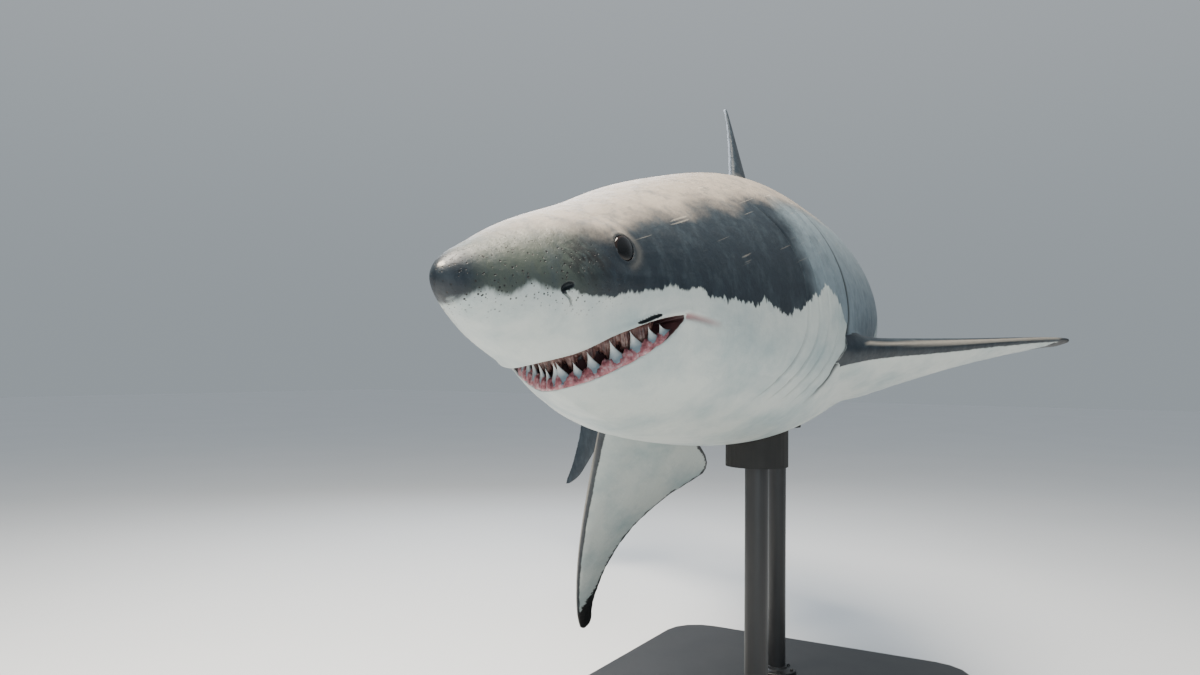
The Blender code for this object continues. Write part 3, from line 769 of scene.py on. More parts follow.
@dataclass
class PairedFin(Fin):
    """A fin at the side of the body, rigid at its root."""

    side: Side = Side.LEFT
    origin: float = 25.0
    height: float = -4.3
    droop: float = 0.0  # degrees below the horizontal
    forward: float = 0.0  # degrees that the fin is turned forwards
    raised: float = 0.0  # degrees that the leading edge is raised
    curl: float = 0.0  # percent that the tip curls down
    band: tuple[float, float] = (15.0, 9.0)  # slate band under the leading edge, root and tip, millimetres
    edge_highlight: float = 1.4  # painted highlight along the rounded leading edge itself, millimetres
    tip_start: float = 0.70  # part of the span where the black of the tip starts on the trailing edge
    tip_mark: float = 40.0  # its width at the tip, millimetres
    border: float = 10.0  # black border of the trailing edge, millimetres
    # Span and length, percent, and width, millimetres, of a black smudge on the trailing edge.
    smudge: Triple = (0.0, 0.0, 0.0)

    def __post_init__(self) -> None:
        """Finds the fin's root on the body and its axes."""
        super().__post_init__()
        along = np.array(self.origin)
        width = float(FORM.half_width(along, np.array(self.height)))
        self.root = FORM.bend(np.array([self.origin, self.side * width, self.height]))
        heading = float(np.interp(self.origin, FORM.along, FORM.heading))
        aft_axis = np.array([math.cos(heading), math.sin(heading), 0.0])
        out_axis = np.array([-math.sin(heading), math.cos(heading), 0.0]) * int(self.side)
        up = np.array([0.0, 0.0, 1.0])
        droop, forward, raised = (math.radians(a) for a in (self.droop, self.forward, self.raised))
        span_axis = out_axis * math.cos(droop) - up * math.sin(droop)
        face_axis = out_axis * math.sin(droop) + up * math.cos(droop)
        chord_axis = aft_axis * math.cos(raised) - face_axis * math.sin(raised)
        self.face = face_axis * math.cos(raised) + aft_axis * math.sin(raised)
        self.out = span_axis * math.cos(forward) - chord_axis * math.sin(forward)
        self.aft = chord_axis * math.cos(forward) + span_axis * math.sin(forward)

    def lift(self, span: Array) -> Array:
        """How far the blade is curled from its plane, percent."""
        return -self.curl * (np.maximum(span, 0.0) / self.length) ** 2

    def place(self, aft: Array, span: Array, side: Array) -> Array:
        """Carries the fin's own coordinates, percent, to the shared frame, metres."""
        lifted = (side + self.lift(span))[..., None] * self.face
        return FORM.pose(self.root + aft[..., None] * self.aft + span[..., None] * self.out + lifted)

    def locate(self, world: Array, straight: Array) -> tuple[Array, Array, Array]:
        """Carries points back to the fin's own aft, span and side, percent.

        Args:
            world: Points of the shared frame, metres.
            straight: Points of the straight animal, percent; not used.

        Returns:
            Aft, span and side, percent.
        """
        own = FORM.unpose(world) - self.root
        span = own @ self.out
        return own @ self.aft, span, own @ self.face - self.lift(span)

    def colours(self, aft: Array, span: Array, side: Array) -> tuple[Array, Array, Array]:
        """Slate above and in a band under the leading edge's painted highlight; black tip and broken border
        below.

        Args:
            aft: Distances aft of the fin's origin, percent.
            span: Distances from the root, percent.
            side: Distances from the middle of the blade, percent.

        Returns:
            Slate, black and pale, as for every fin.
        """
        lead, trail = self.edge_distances(aft, span)
        part = np.clip(span / self.length, 0.0, 1.0)
        band = self.band[1] + (self.band[0] - self.band[1]) * (1 - part) ** 2
        slate = np.where(side > 0, 60.0, np.clip(band - lead, -60.0, 60.0))
        tip = self.tip_mark * np.maximum((part - self.tip_start) / 0.2, 0.0) ** 1.3
        tip = tip + 100 * smoothstep(0.93, 0.98, part)
        black = np.maximum(np.minimum(tip, 60.0), self.border) - trail
        where, length, width = self.smudge
        if length > 0:
            black = np.maximum(black, width * bell((span, where, length)) - trail)
        # Painted highlight where the light falls on the rounded leading edge.
        nose = lead + 16.0 * np.exp(-np.maximum(span, 0.0) / 0.9)
        pale = 0.45 * smoothstep(self.edge_highlight, self.edge_highlight * 0.4, nose) * smoothstep(0.97, 0.9, part)
        return slate, np.where(side > 0, black - 18.0, black), pale


PECTORAL_OUTLINE: Table = (
    (-3.0, -0.3, 7.0), (0.0, 0.0, 7.3), (1.0, 0.3, 9.6), (2.1, 1.0, 10.9), (3.6, 1.9, 10.7), (6.8, 3.8, 9.9),
    (10.7, 6.2, 10.0), (14.7, 8.9, 11.2), (17.8, 11.3, 12.85), (19.2, 12.6, 13.6), (19.6, 13.05, 13.55),
)
DORSAL_OUTLINE: Table = (
    (-2.2, -0.8, 9.4), (0.0, 0.0, 9.6), (0.4, 0.4, 11.2), (0.9, 0.9, 12.0), (2.3, 2.2, 10.4), (4.5, 4.2, 9.6),
    (7.0, 6.5, 9.8), (9.0, 8.4, 10.5), (10.1, 9.8, 11.2), (10.5, 10.8, 11.4),
)
PELVIC_OUTLINE: Table = (
    (-1.8, 0.0, 4.8), (0.0, 0.0, 5.0), (0.6, 0.4, 6.8), (1.4, 1.0, 7.2), (2.6, 2.1, 6.4), (3.8, 3.3, 6.0),
    (4.5, 4.3, 5.9), (4.8, 4.9, 5.7),
)
SMALL_FIN_OUTLINE: Table = (
    (-1.0, -0.2, 1.6), (0.0, 0.0, 1.7), (0.3, 0.3, 3.3), (0.6, 0.6, 3.3), (1.0, 1.1, 2.4), (1.5, 1.8, 2.4),
    (1.8, 2.4, 2.7),
)
UPPER_LOBE_OUTLINE: Table = (
    (-0.3, 0.6, 10.0), (0.3, 0.6, 10.2), (1.5, 1.4, 9.9), (3.0, 3.0, 10.0), (6.0, 6.4, 11.0),
    (9.0, 10.1, 12.9), (11.6, 13.4, 15.2), (12.3, 14.4, 15.6), (12.8, 15.1, 17.2), (14.2, 17.1, 18.5),
    (14.9, 18.4, 19.0),
)
LOWER_LOBE_OUTLINE: Table = (
    (-0.3, 0.6, 10.0), (0.1, 0.6, 10.2), (1.4, 1.6, 9.9), (3.0, 3.0, 9.8), (6.0, 5.7, 10.3), (9.0, 8.6, 11.8),
    (11.2, 11.0, 13.2), (12.3, 12.6, 14.0), (12.7, 13.6, 14.2),
)


def all_fins() -> list[Fin]:
    """Every fin of the animal, with its sizes and pose.

    Returns:
        The fins.
    """
    pectoral_nicks = ((5.1, 0.05, 0.10), (8.9, 0.08, 0.08), (13.2, 0.05, 0.08))
    pectoral = (PECTORAL_OUTLINE, 2.20, 0.25, 0.045)
    pelvic = (PELVIC_OUTLINE, 0.90, 0.18, 0.020, 36, 22)
    small = (SMALL_FIN_OUTLINE, 0.40, 0.12, 0.010, 22, 16)
    return [
        PairedFin("pectoral_left", Piece.PECTORAL_LEFT, *pectoral, nicks=pectoral_nicks, side=Side.LEFT,
                  droop=-11.0, forward=-31.0, raised=14.0, curl=-1.4, band=(28.0, 8.0),
                  smudge=(7.5, 0.6, 60.0)),
        PairedFin("pectoral_right", Piece.PECTORAL_RIGHT, *pectoral, nicks=pectoral_nicks, side=Side.RIGHT,
                  droop=33.0, forward=-1.0, raised=35.0, curl=0.3),
        PairedFin("pelvic_left", Piece.PELVIC_LEFT, *pelvic, side=Side.LEFT, origin=54.0, height=-4.6,
                  droop=28.0, band=(16.0, 5.0), border=3.0),
        PairedFin("pelvic_right", Piece.PELVIC_RIGHT, *pelvic, side=Side.RIGHT, origin=54.0, height=-4.6,
                  droop=38.0, band=(16.0, 5.0), border=3.0),
        MedianFin("dorsal", Piece.DORSAL, DORSAL_OUTLINE, 1.50, 0.20, 0.040,
                  nicks=((3.1, 0.16, 0.12), (6.2, 0.10, 0.1)), origin=35.5, base=9.5),
        MedianFin("second_dorsal", Piece.SECOND_DORSAL, *small, origin=71.5, base=1.7),
        MedianFin("anal", Piece.ANAL, *small, origin=73.5, base=1.7, carried_by=Edge.BELLY, pale=True),
        CaudalLobe("caudal_upper", Piece.CAUDAL_UPPER, UPPER_LOBE_OUTLINE, 1.30, 0.25, 0.022,
                   nicks=((5.0, 0.16, 0.15), (10.1, 0.10, 0.1))),
        CaudalLobe("caudal_lower", Piece.CAUDAL_LOWER, LOWER_LOBE_OUTLINE, 1.30, 0.25, 0.022, direction=-1),
    ]


# --- The mouth ---
@dataclass
class Mouth:
    """The lips' lines in the side view, and the hollow behind them."""

    upper: Table = (
        (2.0, -4.10), (5.2, -3.47), (6.3, -3.26), (7.0, -2.95), (8.0, -2.66), (9.0, -2.42), (10.3, -2.32),
    )
    lower: Table = (
        (2.5, -4.80), (6.7, -4.58), (7.3, -4.48), (8.3, -4.12), (9.0, -3.78), (9.6, -3.38), (10.0, -3.02),
        (10.3, -2.47),
    )
    corner: float = 10.3
    back: float = 10.9  # lines in plan are drawn in or out from this place on the middle line
    cutter_outside: float = 1.13  # how far out the cutter's outer edge is drawn from the upper lip
    hollow: float = 0.70  # how far in the hollow's back wall is drawn from the lower lip
    least_gap: float = 2.0  # millimetres
    path_points: int = 150
    across_points: int = 22

    def __post_init__(self) -> None:
        """Prepares the two lines."""
        self.upper_at = Spline(*zip(*self.upper))
        self.lower_at = Spline(*zip(*self.lower))

    def heights(self, along: Array) -> tuple[Array, Array]:
        """The lower and the upper lip's heights, percent, never nearer than the least gap.

        Args:
            along: Distances from the snout, percent.

        Returns:
            The lower and the upper lip's heights.
        """
        where = np.minimum(along, self.corner)
        top = self.upper_at(where)[..., 0]
        return np.minimum(self.lower_at(where)[..., 0], top - self.least_gap * MM), top

    def path(self, lip: Spline, drawn: float, points: int, stop: float = 0.0) -> Array:
        """A line round a lip in plan, from the left corner round the front to the right one.

        Args:
            lip: The lip's height.
            drawn: How many times larger it is drawn about the place at the back; 1 lies in the skin.
            points: How many points it has, evenly spaced.
            stop: How far before the corner of the mouth it ends, percent.

        Returns:
            Rows of along and side, percent.
        """
        along = np.linspace(self.upper[0][0], self.corner - stop, 900)
        width = FORM.half_width(along, lip(along)[:, 0])
        reached = width > 0
        right = np.stack([along[reached], width[reached]], axis=-1)
        line = np.concatenate([right[::-1] * (1, -1), right])
        line = (self.back, 0.0) + (line - (self.back, 0.0)) * drawn
        walked = walk(line)
        even = np.linspace(0.0, walked[-1], points)
        return np.stack([np.interp(even, walked, column) for column in line.T], axis=-1)

    def cutter(self) -> bpy.types.Object:
        """A slab between the lips that follows the jaw round, rounded at its inner edge.

        Returns:
            The cutter.
        """
        outer = self.path(self.upper_at, self.cutter_outside, self.path_points)
        inner = self.path(self.lower_at, self.hollow, self.path_points)
        across = np.linspace(0.0, 1.0, self.across_points) ** 0.9
        rings = []
        for start, end in zip(outer, inner):
            plan = start + (end - start) * across[:, None]
            low, high = self.heights(plan[:, 0])
            close = np.sqrt(1 - np.clip((across - 0.70) / 0.30, 0.0, 0.995) ** 2)
            middle, half = (low + high) / 2, (high - low) / 2 * close
            under = np.column_stack([plan, middle - half])
            over = np.column_stack([plan, middle + half])[::-1]
            rings.append(FORM.to_world(np.concatenate([under, over])))
        return mark(new_object("mouth_cutter", *loft(rings)), Piece.MOUTH)


MOUTH = Mouth()


# --- The skin ---
@dataclass
class Relief:
    """Low forms of the skin, as heights in millimetres above the plain body."""

    gill_slits: tuple[float, ...] = (19.3, 20.6, 21.9, 23.3, 24.8)
    gill_span: tuple[float, float] = (-45.0, 28.0)  # degrees above the flank's middle
    gill_fade: float = 9.0
    gill_depth: float = 12.0
    gill_lift: float = 3.5
    last_shade: float = 30.0  # millimetres of painted shadow behind the last slit, where its flap stands proud
    corner_crease: Table = ((10.3, -2.40), (10.8, -2.49), (11.7, -2.76), (12.3, -2.93))
    lip_fold: Table = ((7.0, -2.55), (7.8, -2.42), (8.5, -2.14), (9.4, -1.92))
    cheek_crease: Table = ((9.0, -5.0), (11.5, -4.6), (14.0, -4.9), (16.0, -5.6))
    nostril_dip: Table = ((4.58, -1.60), (4.60, -2.00), (4.56, -2.30))
    # Height in millimetres, then middle and reach along and middle and reach up, percent.
    swellings: Table = (
        (7.0, 13.4, 2.6, -3.6, 2.0),  # the jaw muscle
        (3.0, 9.2, 2.0, -5.0, 0.9),  # the chin
        (3.5, 6.6, 2.0, 1.5, 0.45),  # the brow over the eye
        (-3.0, 8.6, 1.6, -0.4, 0.9),  # the cheek behind it
        (2.2, 3.4, 1.3, -1.9, 0.6),  # the snout's side
    )

    def gill_sweep(self, along: Array, climb: Array) -> Array:
        """How far the slits lean: their upper ends and their long lower ends both run forwards.

        Args:
            along: Distances from the snout before the sweep, percent.
            climb: Angle above the flank's middle, degrees.

        Returns:
            The shift along the body, percent.
        """
        window = smoothstep(13.5, 19.0, along) * smoothstep(29.5, 24.0, along)
        low = -2.3 * smoothstep(-12.0, -62.0, climb) ** 1.2
        high = -0.9 * smoothstep(0.0, 40.0, climb)
        return window * (low + high)

    def gill_reach(self, climb: Array) -> Array:
        """How open the slits are at each angle above the flank's middle, 0 to 1.

        Args:
            climb: Angles above the flank's middle, degrees.

        Returns:
            The opening, 0 to 1.
        """
        low, high = self.gill_span
        live = smoothstep(low - self.gill_fade, low + self.gill_fade, climb)
        return live * smoothstep(high + self.gill_fade, high - self.gill_fade, climb)

    def gills(self, along: Array, climb: Array) -> Array:
        """Flaps that lift towards the rear, each over a deep narrow slit.

        Args:
            along: Distances from the snout, percent.
            climb: Angles above the flank's middle, degrees.

        Returns:
            Heights above the plain body, millimetres.
        """
        height = np.zeros(np.shape(along))
        for slit in self.gill_slits:
            behind = (along - slit) / MM
            flap = np.where(behind < 0, self.gill_lift * np.exp(np.minimum(behind, 0.0) / 16.0), 0.0)
            drop = smoothstep(-0.5, 3.0, behind) * smoothstep(19.0, 4.0, behind)
            height = height + flap * smoothstep(1.5, -1.5, behind) - self.gill_depth * drop
        return height * self.gill_reach(climb)

    def folds(self, along: Array, height: Array) -> Array:
        """Creases that run aft from the mouth's corner and over the cheek.

        Args:
            along: Distances from the snout, percent.
            height: Heights, percent.

        Returns:
            Heights above the plain body, millimetres.
        """
        gap, part = line_distance(along, height, self.corner_crease)
        made = -4.5 * (1 - part) ** 0.7 * bell((gap, 0.0, 5.0))
        gap, part = line_distance(along, height, self.cheek_crease)
        made += -1.4 * np.sin(math.pi * part) * bell((gap, 0.0, 14.0))
        gap, part = line_distance(along, height, self.lip_fold)
        made += -1.8 * np.sin(math.pi * part) * bell((gap, 0.0, 4.5))
        gap, part = line_distance(along, height, self.nostril_dip)
        made += -2.4 * (1 - 0.6 * part) * bell((gap, 0.0, 6.0))
        return made

    def crease(self, straight: Array) -> tuple[Array, Array]:
        """How deep in a gill slit's painted shade, and in the flushed fold behind the mouth, each point lies,
        0 to 1.

        Args:
            straight: Points of the straight animal, percent.

        Returns:
            The two depths; the first is the gill slits' painted shade.
        """
        climb = FORM.climb(straight)
        along = straight[:, 0].copy()
        for _ in range(4):
            along = straight[:, 0] - self.gill_sweep(along, climb)
        deep = np.zeros(len(straight))
        for slit in self.gill_slits:
            behind = (along - slit) / MM
            shade = 13.0 if slit < self.gill_slits[-1] else self.last_shade
            deep = np.maximum(deep, smoothstep(-2.5, 0.5, behind) * smoothstep(shade, shade * 0.4, behind))
        gap, part = line_distance(straight[:, 0], straight[:, 2], self.corner_crease)
        return deep * self.gill_reach(climb), (1 - part) ** 0.6 * smoothstep(8.0, 1.5, gap)

    def throat(self, along: Array, height: Array) -> Array:
        """Long shallow pleats under the jaw and the gills."""
        live = smoothstep(-4.2, -5.6, height) * smoothstep(13.0, 17.0, along) * smoothstep(27.0, 22.0, along)
        return -1.6 * live * np.clip(np.sin((height * 3.4 + along * 0.55) * math.pi * 0.62), 0.0, 1.0) ** 3

    def muscles(self, along: Array, height: Array) -> Array:
        """The head's swellings and the upper lip's fleshy rim.

        Args:
            along: Distances from the snout, percent.
            height: Heights, percent.

        Returns:
            Heights above the plain body, millimetres.
        """
        made = sum(
            tall * bell((along, aft, length), (height, up, reach))
            for tall, aft, length, up, reach in self.swellings
        )
        lip_gap, _ = line_distance(along, height, MOUTH.upper[1:])
        upper_lip = 2.6 * bell((lip_gap, 8.0, 7.0)) * smoothstep(-5.2, -4.6, height)
        return made + upper_lip * smoothstep(4.6, 6.0, along)

    def eye_rim(self, along: Array, height: Array) -> Array:
        """A thin lidless rim round the eye; the skin leans back to upright under a low brow.

        Args:
            along: Distances from the snout, percent.
            height: Heights, percent.

        Returns:
            Heights above the plain body, millimetres.
        """
        gap = np.hypot(along - EYE.along, height - EYE.height) / MM
        rim = 1.8 * bell((gap - EYE.radius, 1.5, 3.0))
        upright = 0.34 * (height - EYE.height) / MM * bell((gap, 0.0, 34.0))
        return rim + upright

    def tail(self, along: Array, height: Array) -> Array:
        """The notches in front of the tail fin, above and below."""
        return -7.0 * bell((along, 79.8, 0.5)) * smoothstep(0.9, 1.5, np.abs(height))

    def height(self, straight: Array, along: Array, climb: Array) -> Array:
        """All the low forms together.

        Args:
            straight: Points of the plain body, percent.
            along: Distances from the snout before the gills' sweep, percent.
            climb: Angle above the flank's middle, degrees.

        Returns:
            Heights above the plain body, millimetres.
        """
        where, level = straight[..., 0], straight[..., 2]
        side = smoothstep(0.3, 1.2, np.abs(straight[..., 1]))
        made = self.gills(along, climb) + self.folds(where, level) * side + self.throat(where, level)
        made = made + self.muscles(where, level) * side + self.eye_rim(where, level) * side
        return made + self.tail(where, level)


@dataclass
class SkinGrid:
    """Rings and columns that cover the body, close together where the form is fine."""

    columns: int = 320
    # Distance from the snout and the rings' spacing there, millimetres.
    spacing: Table = ((0, 3.4), (12, 4.0), (16, 5.0), (18.6, 3.0), (25.4, 3.0), (27.5, 9.0), (31, 13.0),
                      (64, 12.0), (72, 9.0), (91, 7.0))
    slit_spacing: float = 1.5  # near a gill slit, millimetres
    # Radius of the section, percent, below which a ring has only a part of the columns.
    snout_steps: Table = ((0.16, 20), (0.36, 40), (0.75, 80), (1.5, 160))
    snout_end: float = 5.0
    trunk_columns: int = 160
    trunk_start: float = 28.0
    # Degrees above the flank's middle and the columns' closeness there.
    closeness: Table = ((-90, 0.8), (-74, 1.0), (-64, 1.5), (24, 1.5), (40, 0.75), (90, 0.6))

    def stations(self, relief: Relief) -> Array:
        """The rings' distances from the snout, percent.

        Args:
            relief: The low forms of the skin.

        Returns:
            The distances.
        """
        fine = np.linspace(0.0, 1.0, 20001) ** 2 * (FORM.end - FORM.tip) + FORM.tip
        _, _, half, _, _, _ = FORM.section(fine)
        step = np.hypot(np.diff(fine), np.diff(half)) / MM
        middle = (fine[1:] + fine[:-1]) / 2
        spacing = read_table(self.spacing, middle)
        for slit in relief.gill_slits:
            near = bell((middle - slit, 0.06, 0.16))
            spacing = spacing * (1 - near) + self.slit_spacing * near
        walked = running_total(step / spacing)
        return np.interp(np.arange(1, int(walked[-1]) + 1), walked, fine)

    def angles(self) -> Array:
        """The columns' angles round the body, radians.

        Returns:
            The angles.
        """
        fine = np.linspace(-180.0, 180.0, 7201)
        climb = np.degrees(np.arcsin(np.sin(np.radians(fine))))
        close = read_table(self.closeness, climb)
        walked = running_total((close[1:] + close[:-1]) / 2)
        even = np.linspace(0.0, walked[-1], self.columns, endpoint=False)
        return np.radians(np.interp(even, walked, fine))

    def build(self, relief: Relief) -> bpy.types.Object:
        """Makes the body's skin, without its fins and openings.

        Args:
            relief: The low forms of the skin.

        Returns:
            The closed body.
        """
        station = self.stations(relief)
        angle = self.angles()
        along, round_body = np.meshgrid(station, angle, indexing="ij")
        climb = np.degrees(np.arcsin(np.sin(round_body)))
        swept = along + relief.gill_sweep(along, climb)
        straight = FORM.surface(swept, round_body)
        aft = np.gradient(straight, axis=0)
        across = (np.roll(straight, -1, axis=1) - np.roll(straight, 1, axis=1)) / 2
        outward = np.cross(across, aft)
        outward /= np.maximum(np.linalg.norm(outward, axis=-1), 1e-9)[..., None]
        middle = straight.mean(axis=1, keepdims=True)
        outward *= np.sign(((straight - middle) * outward).sum(axis=-1))[..., None]
        height = relief.height(straight, along, climb) * smoothstep(0.2, 1.5, along)
        world = FORM.to_world(straight + outward * (height * MM)[..., None])
        radius = FORM.section(station)[2]
        rings = [FORM.to_world(np.array([[0.0, 0.0, 0.0]]))]
        for i, at in enumerate(station):
            count = self.trunk_columns if at > self.trunk_start else self.columns
            if at < self.snout_end:
                count = next((int(n) for limit, n in self.snout_steps if radius[i] < limit), count)
            rings.append(world[i, :: self.columns // count])
        return mark(new_object("shark_skin", *loft(rings)), Piece.BODY)


@dataclass
class SharkSkin:
    """The one skin of the animal: body and fins joined, with mouth, eye sockets, nostrils and furrows."""

    grid: SkinGrid = field(default_factory=SkinGrid)
    relief: Relief = field(default_factory=Relief)
    fins: list[Fin] = field(default_factory=all_fins)
    # Each groove: points of along and height, then radii in millimetres.
    nostril: Table = (
        (4.44, -0.84), (4.24, -0.88), (4.10, -1.00), (4.20, -1.18), (4.42, -1.38), (4.58, -1.66),
    )
    nostril_radii: tuple[float, ...] = (3.2, 5.6, 4.4, 1.5, 1.2, 0.8)
    furrow: Table = ((7.95, -2.47), (8.38, -2.41), (8.74, -2.30), (9.12, -2.20))
    furrow_radii: tuple[float, ...] = (0.8, 2.9, 3.1, 1.0)
    # Over what distance each opening's edge is rounded, metres, and how strongly.
    smoothing: tuple[tuple[Piece, float, float], ...] = (
        (Piece.MOUTH, 0.0055, 0.45), (Piece.EYE_SOCKET, 0.003, 0.5), (Piece.NOSTRIL, 0.003, 0.4),
        (Piece.FURROW, 0.003, 0.4),
    )
    smoothing_rounds: int = 24
    smoothing_pull: float = 0.6
    # Along and height, percent, of the slate's lower edge.
    boundary: Table = (
        (0.0, -0.90), (0.7, -0.96), (1.4, -0.78), (2.1, -1.00), (2.8, -0.68), (3.5, -0.89), (4.3, -1.07),
        (5.1, -1.29), (6.1, -1.34), (8.2, -1.26), (10.2, -1.27), (11.4, -1.53), (12.4, -1.92),
        (13.5, -1.88), (14.6, -2.12), (15.8, -1.98), (16.9, -2.60), (18.0, -2.52), (19.4, -2.15),
        (20.6, -1.73), (22.3, -1.25), (23.6, -2.1), (25.0, -3.9), (31.5, -4.6), (34.0, -3.2),
        (40.0, -2.2), (48.0, -2.0), (53.0, -3.0), (58.0, -3.8), (61.0, -2.4), (68.0, -1.1), (76.0, -0.5),
        (82.0, -0.4), (88.0, -1.2), (110.0, -1.4),
    )
    # Along and height, percent, of the line where the deep slate, partly painted shade, gives way to the
    # pale back of painted sunlight.
    shade_to_sun_line: Table = (
        (0.0, 1.3), (3.1, 1.15), (5.4, 1.6), (7.2, 1.35), (8.6, 1.95), (9.8, 2.3), (12.5, 2.65), (18.1, 3.9),
        (22.0, 3.6), (30.0, 2.6), (45.0, 2.2), (60.0, 2.0), (75.0, 0.9), (110.0, 0.8),
    )
    # Along, percent, and how far the slate's edge strays there, part of the greatest.
    spikes: Table = ((3.4, 0.42), (4.6, 0.55), (9.0, 0.6), (12.0, 1.1), (16.0, 1.5), (21.0, 1.3), (30.0, 0.7))
    # The dark patch behind the gills: middle and half size, along and up, percent.
    gill_patch: Table = ((25.9, -4.9), (1.2, 0.4))
    # Each pale scar's middle, percent, and its radius, millimetres.
    scars: tuple[tuple[Triple, float], ...] = (((0.17, -0.19, 0.37), 7.0),)

    def socket(self, side: Side) -> bpy.types.Object:
        """The room of an eye, a flattened ball."""
        points, faces, _ = EYE.ball(side, 24, 40, room=1.02)
        return mark(new_object("eye_socket", points, faces), Piece.EYE_SOCKET)

    def groove(self, line: Table, radii: Sequence[float], side: Side, piece: Piece) -> bpy.types.Object:
        """A round groove that follows the skin.

        Args:
            line: Its middle, along and height, percent.
            radii: Its radius at each point, millimetres.
            side: Left or right.
            piece: What its faces are marked as.

        Returns:
            The cutter.
        """
        knots = np.linspace(0.0, 1.0, len(line))
        t = np.linspace(0.0, 1.0, 26)
        place = Spline(knots, line)(t)
        radius = np.maximum(Spline(knots, radii)(t)[:, 0], 0.8) * 0.001
        rings = []
        for i in range(len(t)):
            point, outward, _ = FORM.skin_frame(place[i, 0], place[i, 1], side)
            before, after = place[max(i - 1, 0)], place[min(i + 1, len(t) - 1)]
            ends = [FORM.skin_frame(*row, side)[0] for row in (before, after)]
            run = (ends[1] - ends[0]).normalized()
            across = run.cross(outward).normalized()
            turn = np.linspace(0.0, math.tau, 16, endpoint=False)[:, None]
            ring = np.cos(turn) * np.array(across) + np.sin(turn) * np.array(outward) * 1.7
            rings.append(np.array(point) + ring * radius[i])
        return mark(new_object("groove", *loft(rings)), piece)

    def join(self, body: bpy.types.Object) -> None:
        """Joins the fins to the body and cuts the openings.

        Args:
            body: The closed body, changed in place.
        """
        steps = [(fin.build(), "UNION") for fin in self.fins]
        steps.append((MOUTH.cutter(), "DIFFERENCE"))
        for side in Side:
            steps.append((self.socket(side), "DIFFERENCE"))
            steps.append((self.groove(self.nostril, self.nostril_radii, side, Piece.NOSTRIL), "DIFFERENCE"))
            steps.append((self.groove(self.furrow, self.furrow_radii, side, Piece.FURROW), "DIFFERENCE"))
        for other, operation in steps:
            change = body.modifiers.new("join", "BOOLEAN")
            change.object = other
            change.operation = operation
            change.solver = "MANIFOLD"
        bpy.context.view_layer.update()
        evaluated = body.evaluated_get(bpy.context.evaluated_depsgraph_get())
        joined = bpy.data.meshes.new_from_object(evaluated)
        body.modifiers.clear()
        body.data = joined
        for other, _ in steps:
            bpy.data.objects.remove(other)

    def clean(self, mesh: bpy.types.Mesh) -> None:
        """Takes out the slivers that the joins leave.

        Args:
            mesh: The joined skin, changed in place.
        """
        shaped = bmesh.new()
        shaped.from_mesh(mesh)
        bmesh.ops.remove_doubles(shaped, verts=shaped.verts, dist=0.0005)
        bmesh.ops.dissolve_degenerate(shaped, edges=shaped.edges, dist=0.0003)
        large = [face for face in shaped.faces if len(face.verts) > 4]
        bmesh.ops.triangulate(shaped, faces=large)
        shaped.to_mesh(mesh)
        shaped.free()
        mesh.validate()

    def soften(self, mesh: bpy.types.Mesh) -> tuple[Array, Array]:
        """Rounds every join by moving points towards their neighbours' middle.

        Args:
            mesh: The joined skin, changed in place.

        Returns:
            The piece of each point, where a join counts as the fin or the opening, and how far inside
            the lips each point of the mouth's hollow lies, millimetres.
        """
        count = len(mesh.vertices)
        points = read_rows(mesh.vertices, "co", 3, float)
        ends = read_rows(mesh.edges, "vertices", 2)
        owner = np.repeat(read_rows(mesh.polygons, "material_index"), read_rows(mesh.polygons, "loop_total"))
        corner_edge = read_rows(mesh.loops, "edge_index")
        low = np.full(len(ends), len(Piece))
        high = np.full(len(ends), -1)
        np.minimum.at(low, corner_edge, owner)
        np.maximum.at(high, corner_edge, owner)
        piece = np.zeros(count, dtype=int)
        np.maximum.at(piece, read_rows(mesh.loops, "vertex_index"), owner)
        reach = [(fin.piece, fin.fillet, 1.0) for fin in self.fins] + list(self.smoothing)
        weight = np.zeros(count)
        inside = np.zeros(count)
        for kind, radius, strength in reach:
            joins = np.unique(ends[(low != high) & (high == int(kind))])
            if len(joins) == 0:
                log.warning("no join found for %s", kind.name)
                continue
            tree = kdtree.KDTree(len(joins))
            for i, at in enumerate(joins):
                tree.insert(points[at], i)
            tree.balance()
            above = points > points[joins].min(0) - radius
            below = points < points[joins].max(0) + radius
            near = np.all(above & below, axis=1)
            for at in np.flatnonzero(near):
                away = tree.find(points[at])[2]
                if away < radius:
                    weight[at] = max(weight[at], (1 - away / radius) * strength)
            if kind is Piece.MOUTH:
                for at in np.flatnonzero(piece == int(kind)):
                    inside[at] = tree.find(points[at])[2] * 1000
        live = (weight[ends[:, 0]] > 0) | (weight[ends[:, 1]] > 0)
        ends = ends[live]
        degree = np.bincount(ends.ravel(), minlength=count)
        pull = (smoothstep(0.0, 1.0, weight) * self.smoothing_pull)[:, None]
        for _ in range(self.smoothing_rounds):
            total = np.zeros_like(points)
            for axis in range(3):
                total[:, axis] = np.bincount(ends[:, 0], points[ends[:, 1], axis], count)
                total[:, axis] += np.bincount(ends[:, 1], points[ends[:, 0], axis], count)
            middle = total / np.maximum(degree, 1)[:, None]
            points += np.where(degree[:, None] > 0, middle - points, 0.0) * pull
        mesh.vertices.foreach_set("co", points.ravel())
        return piece, inside

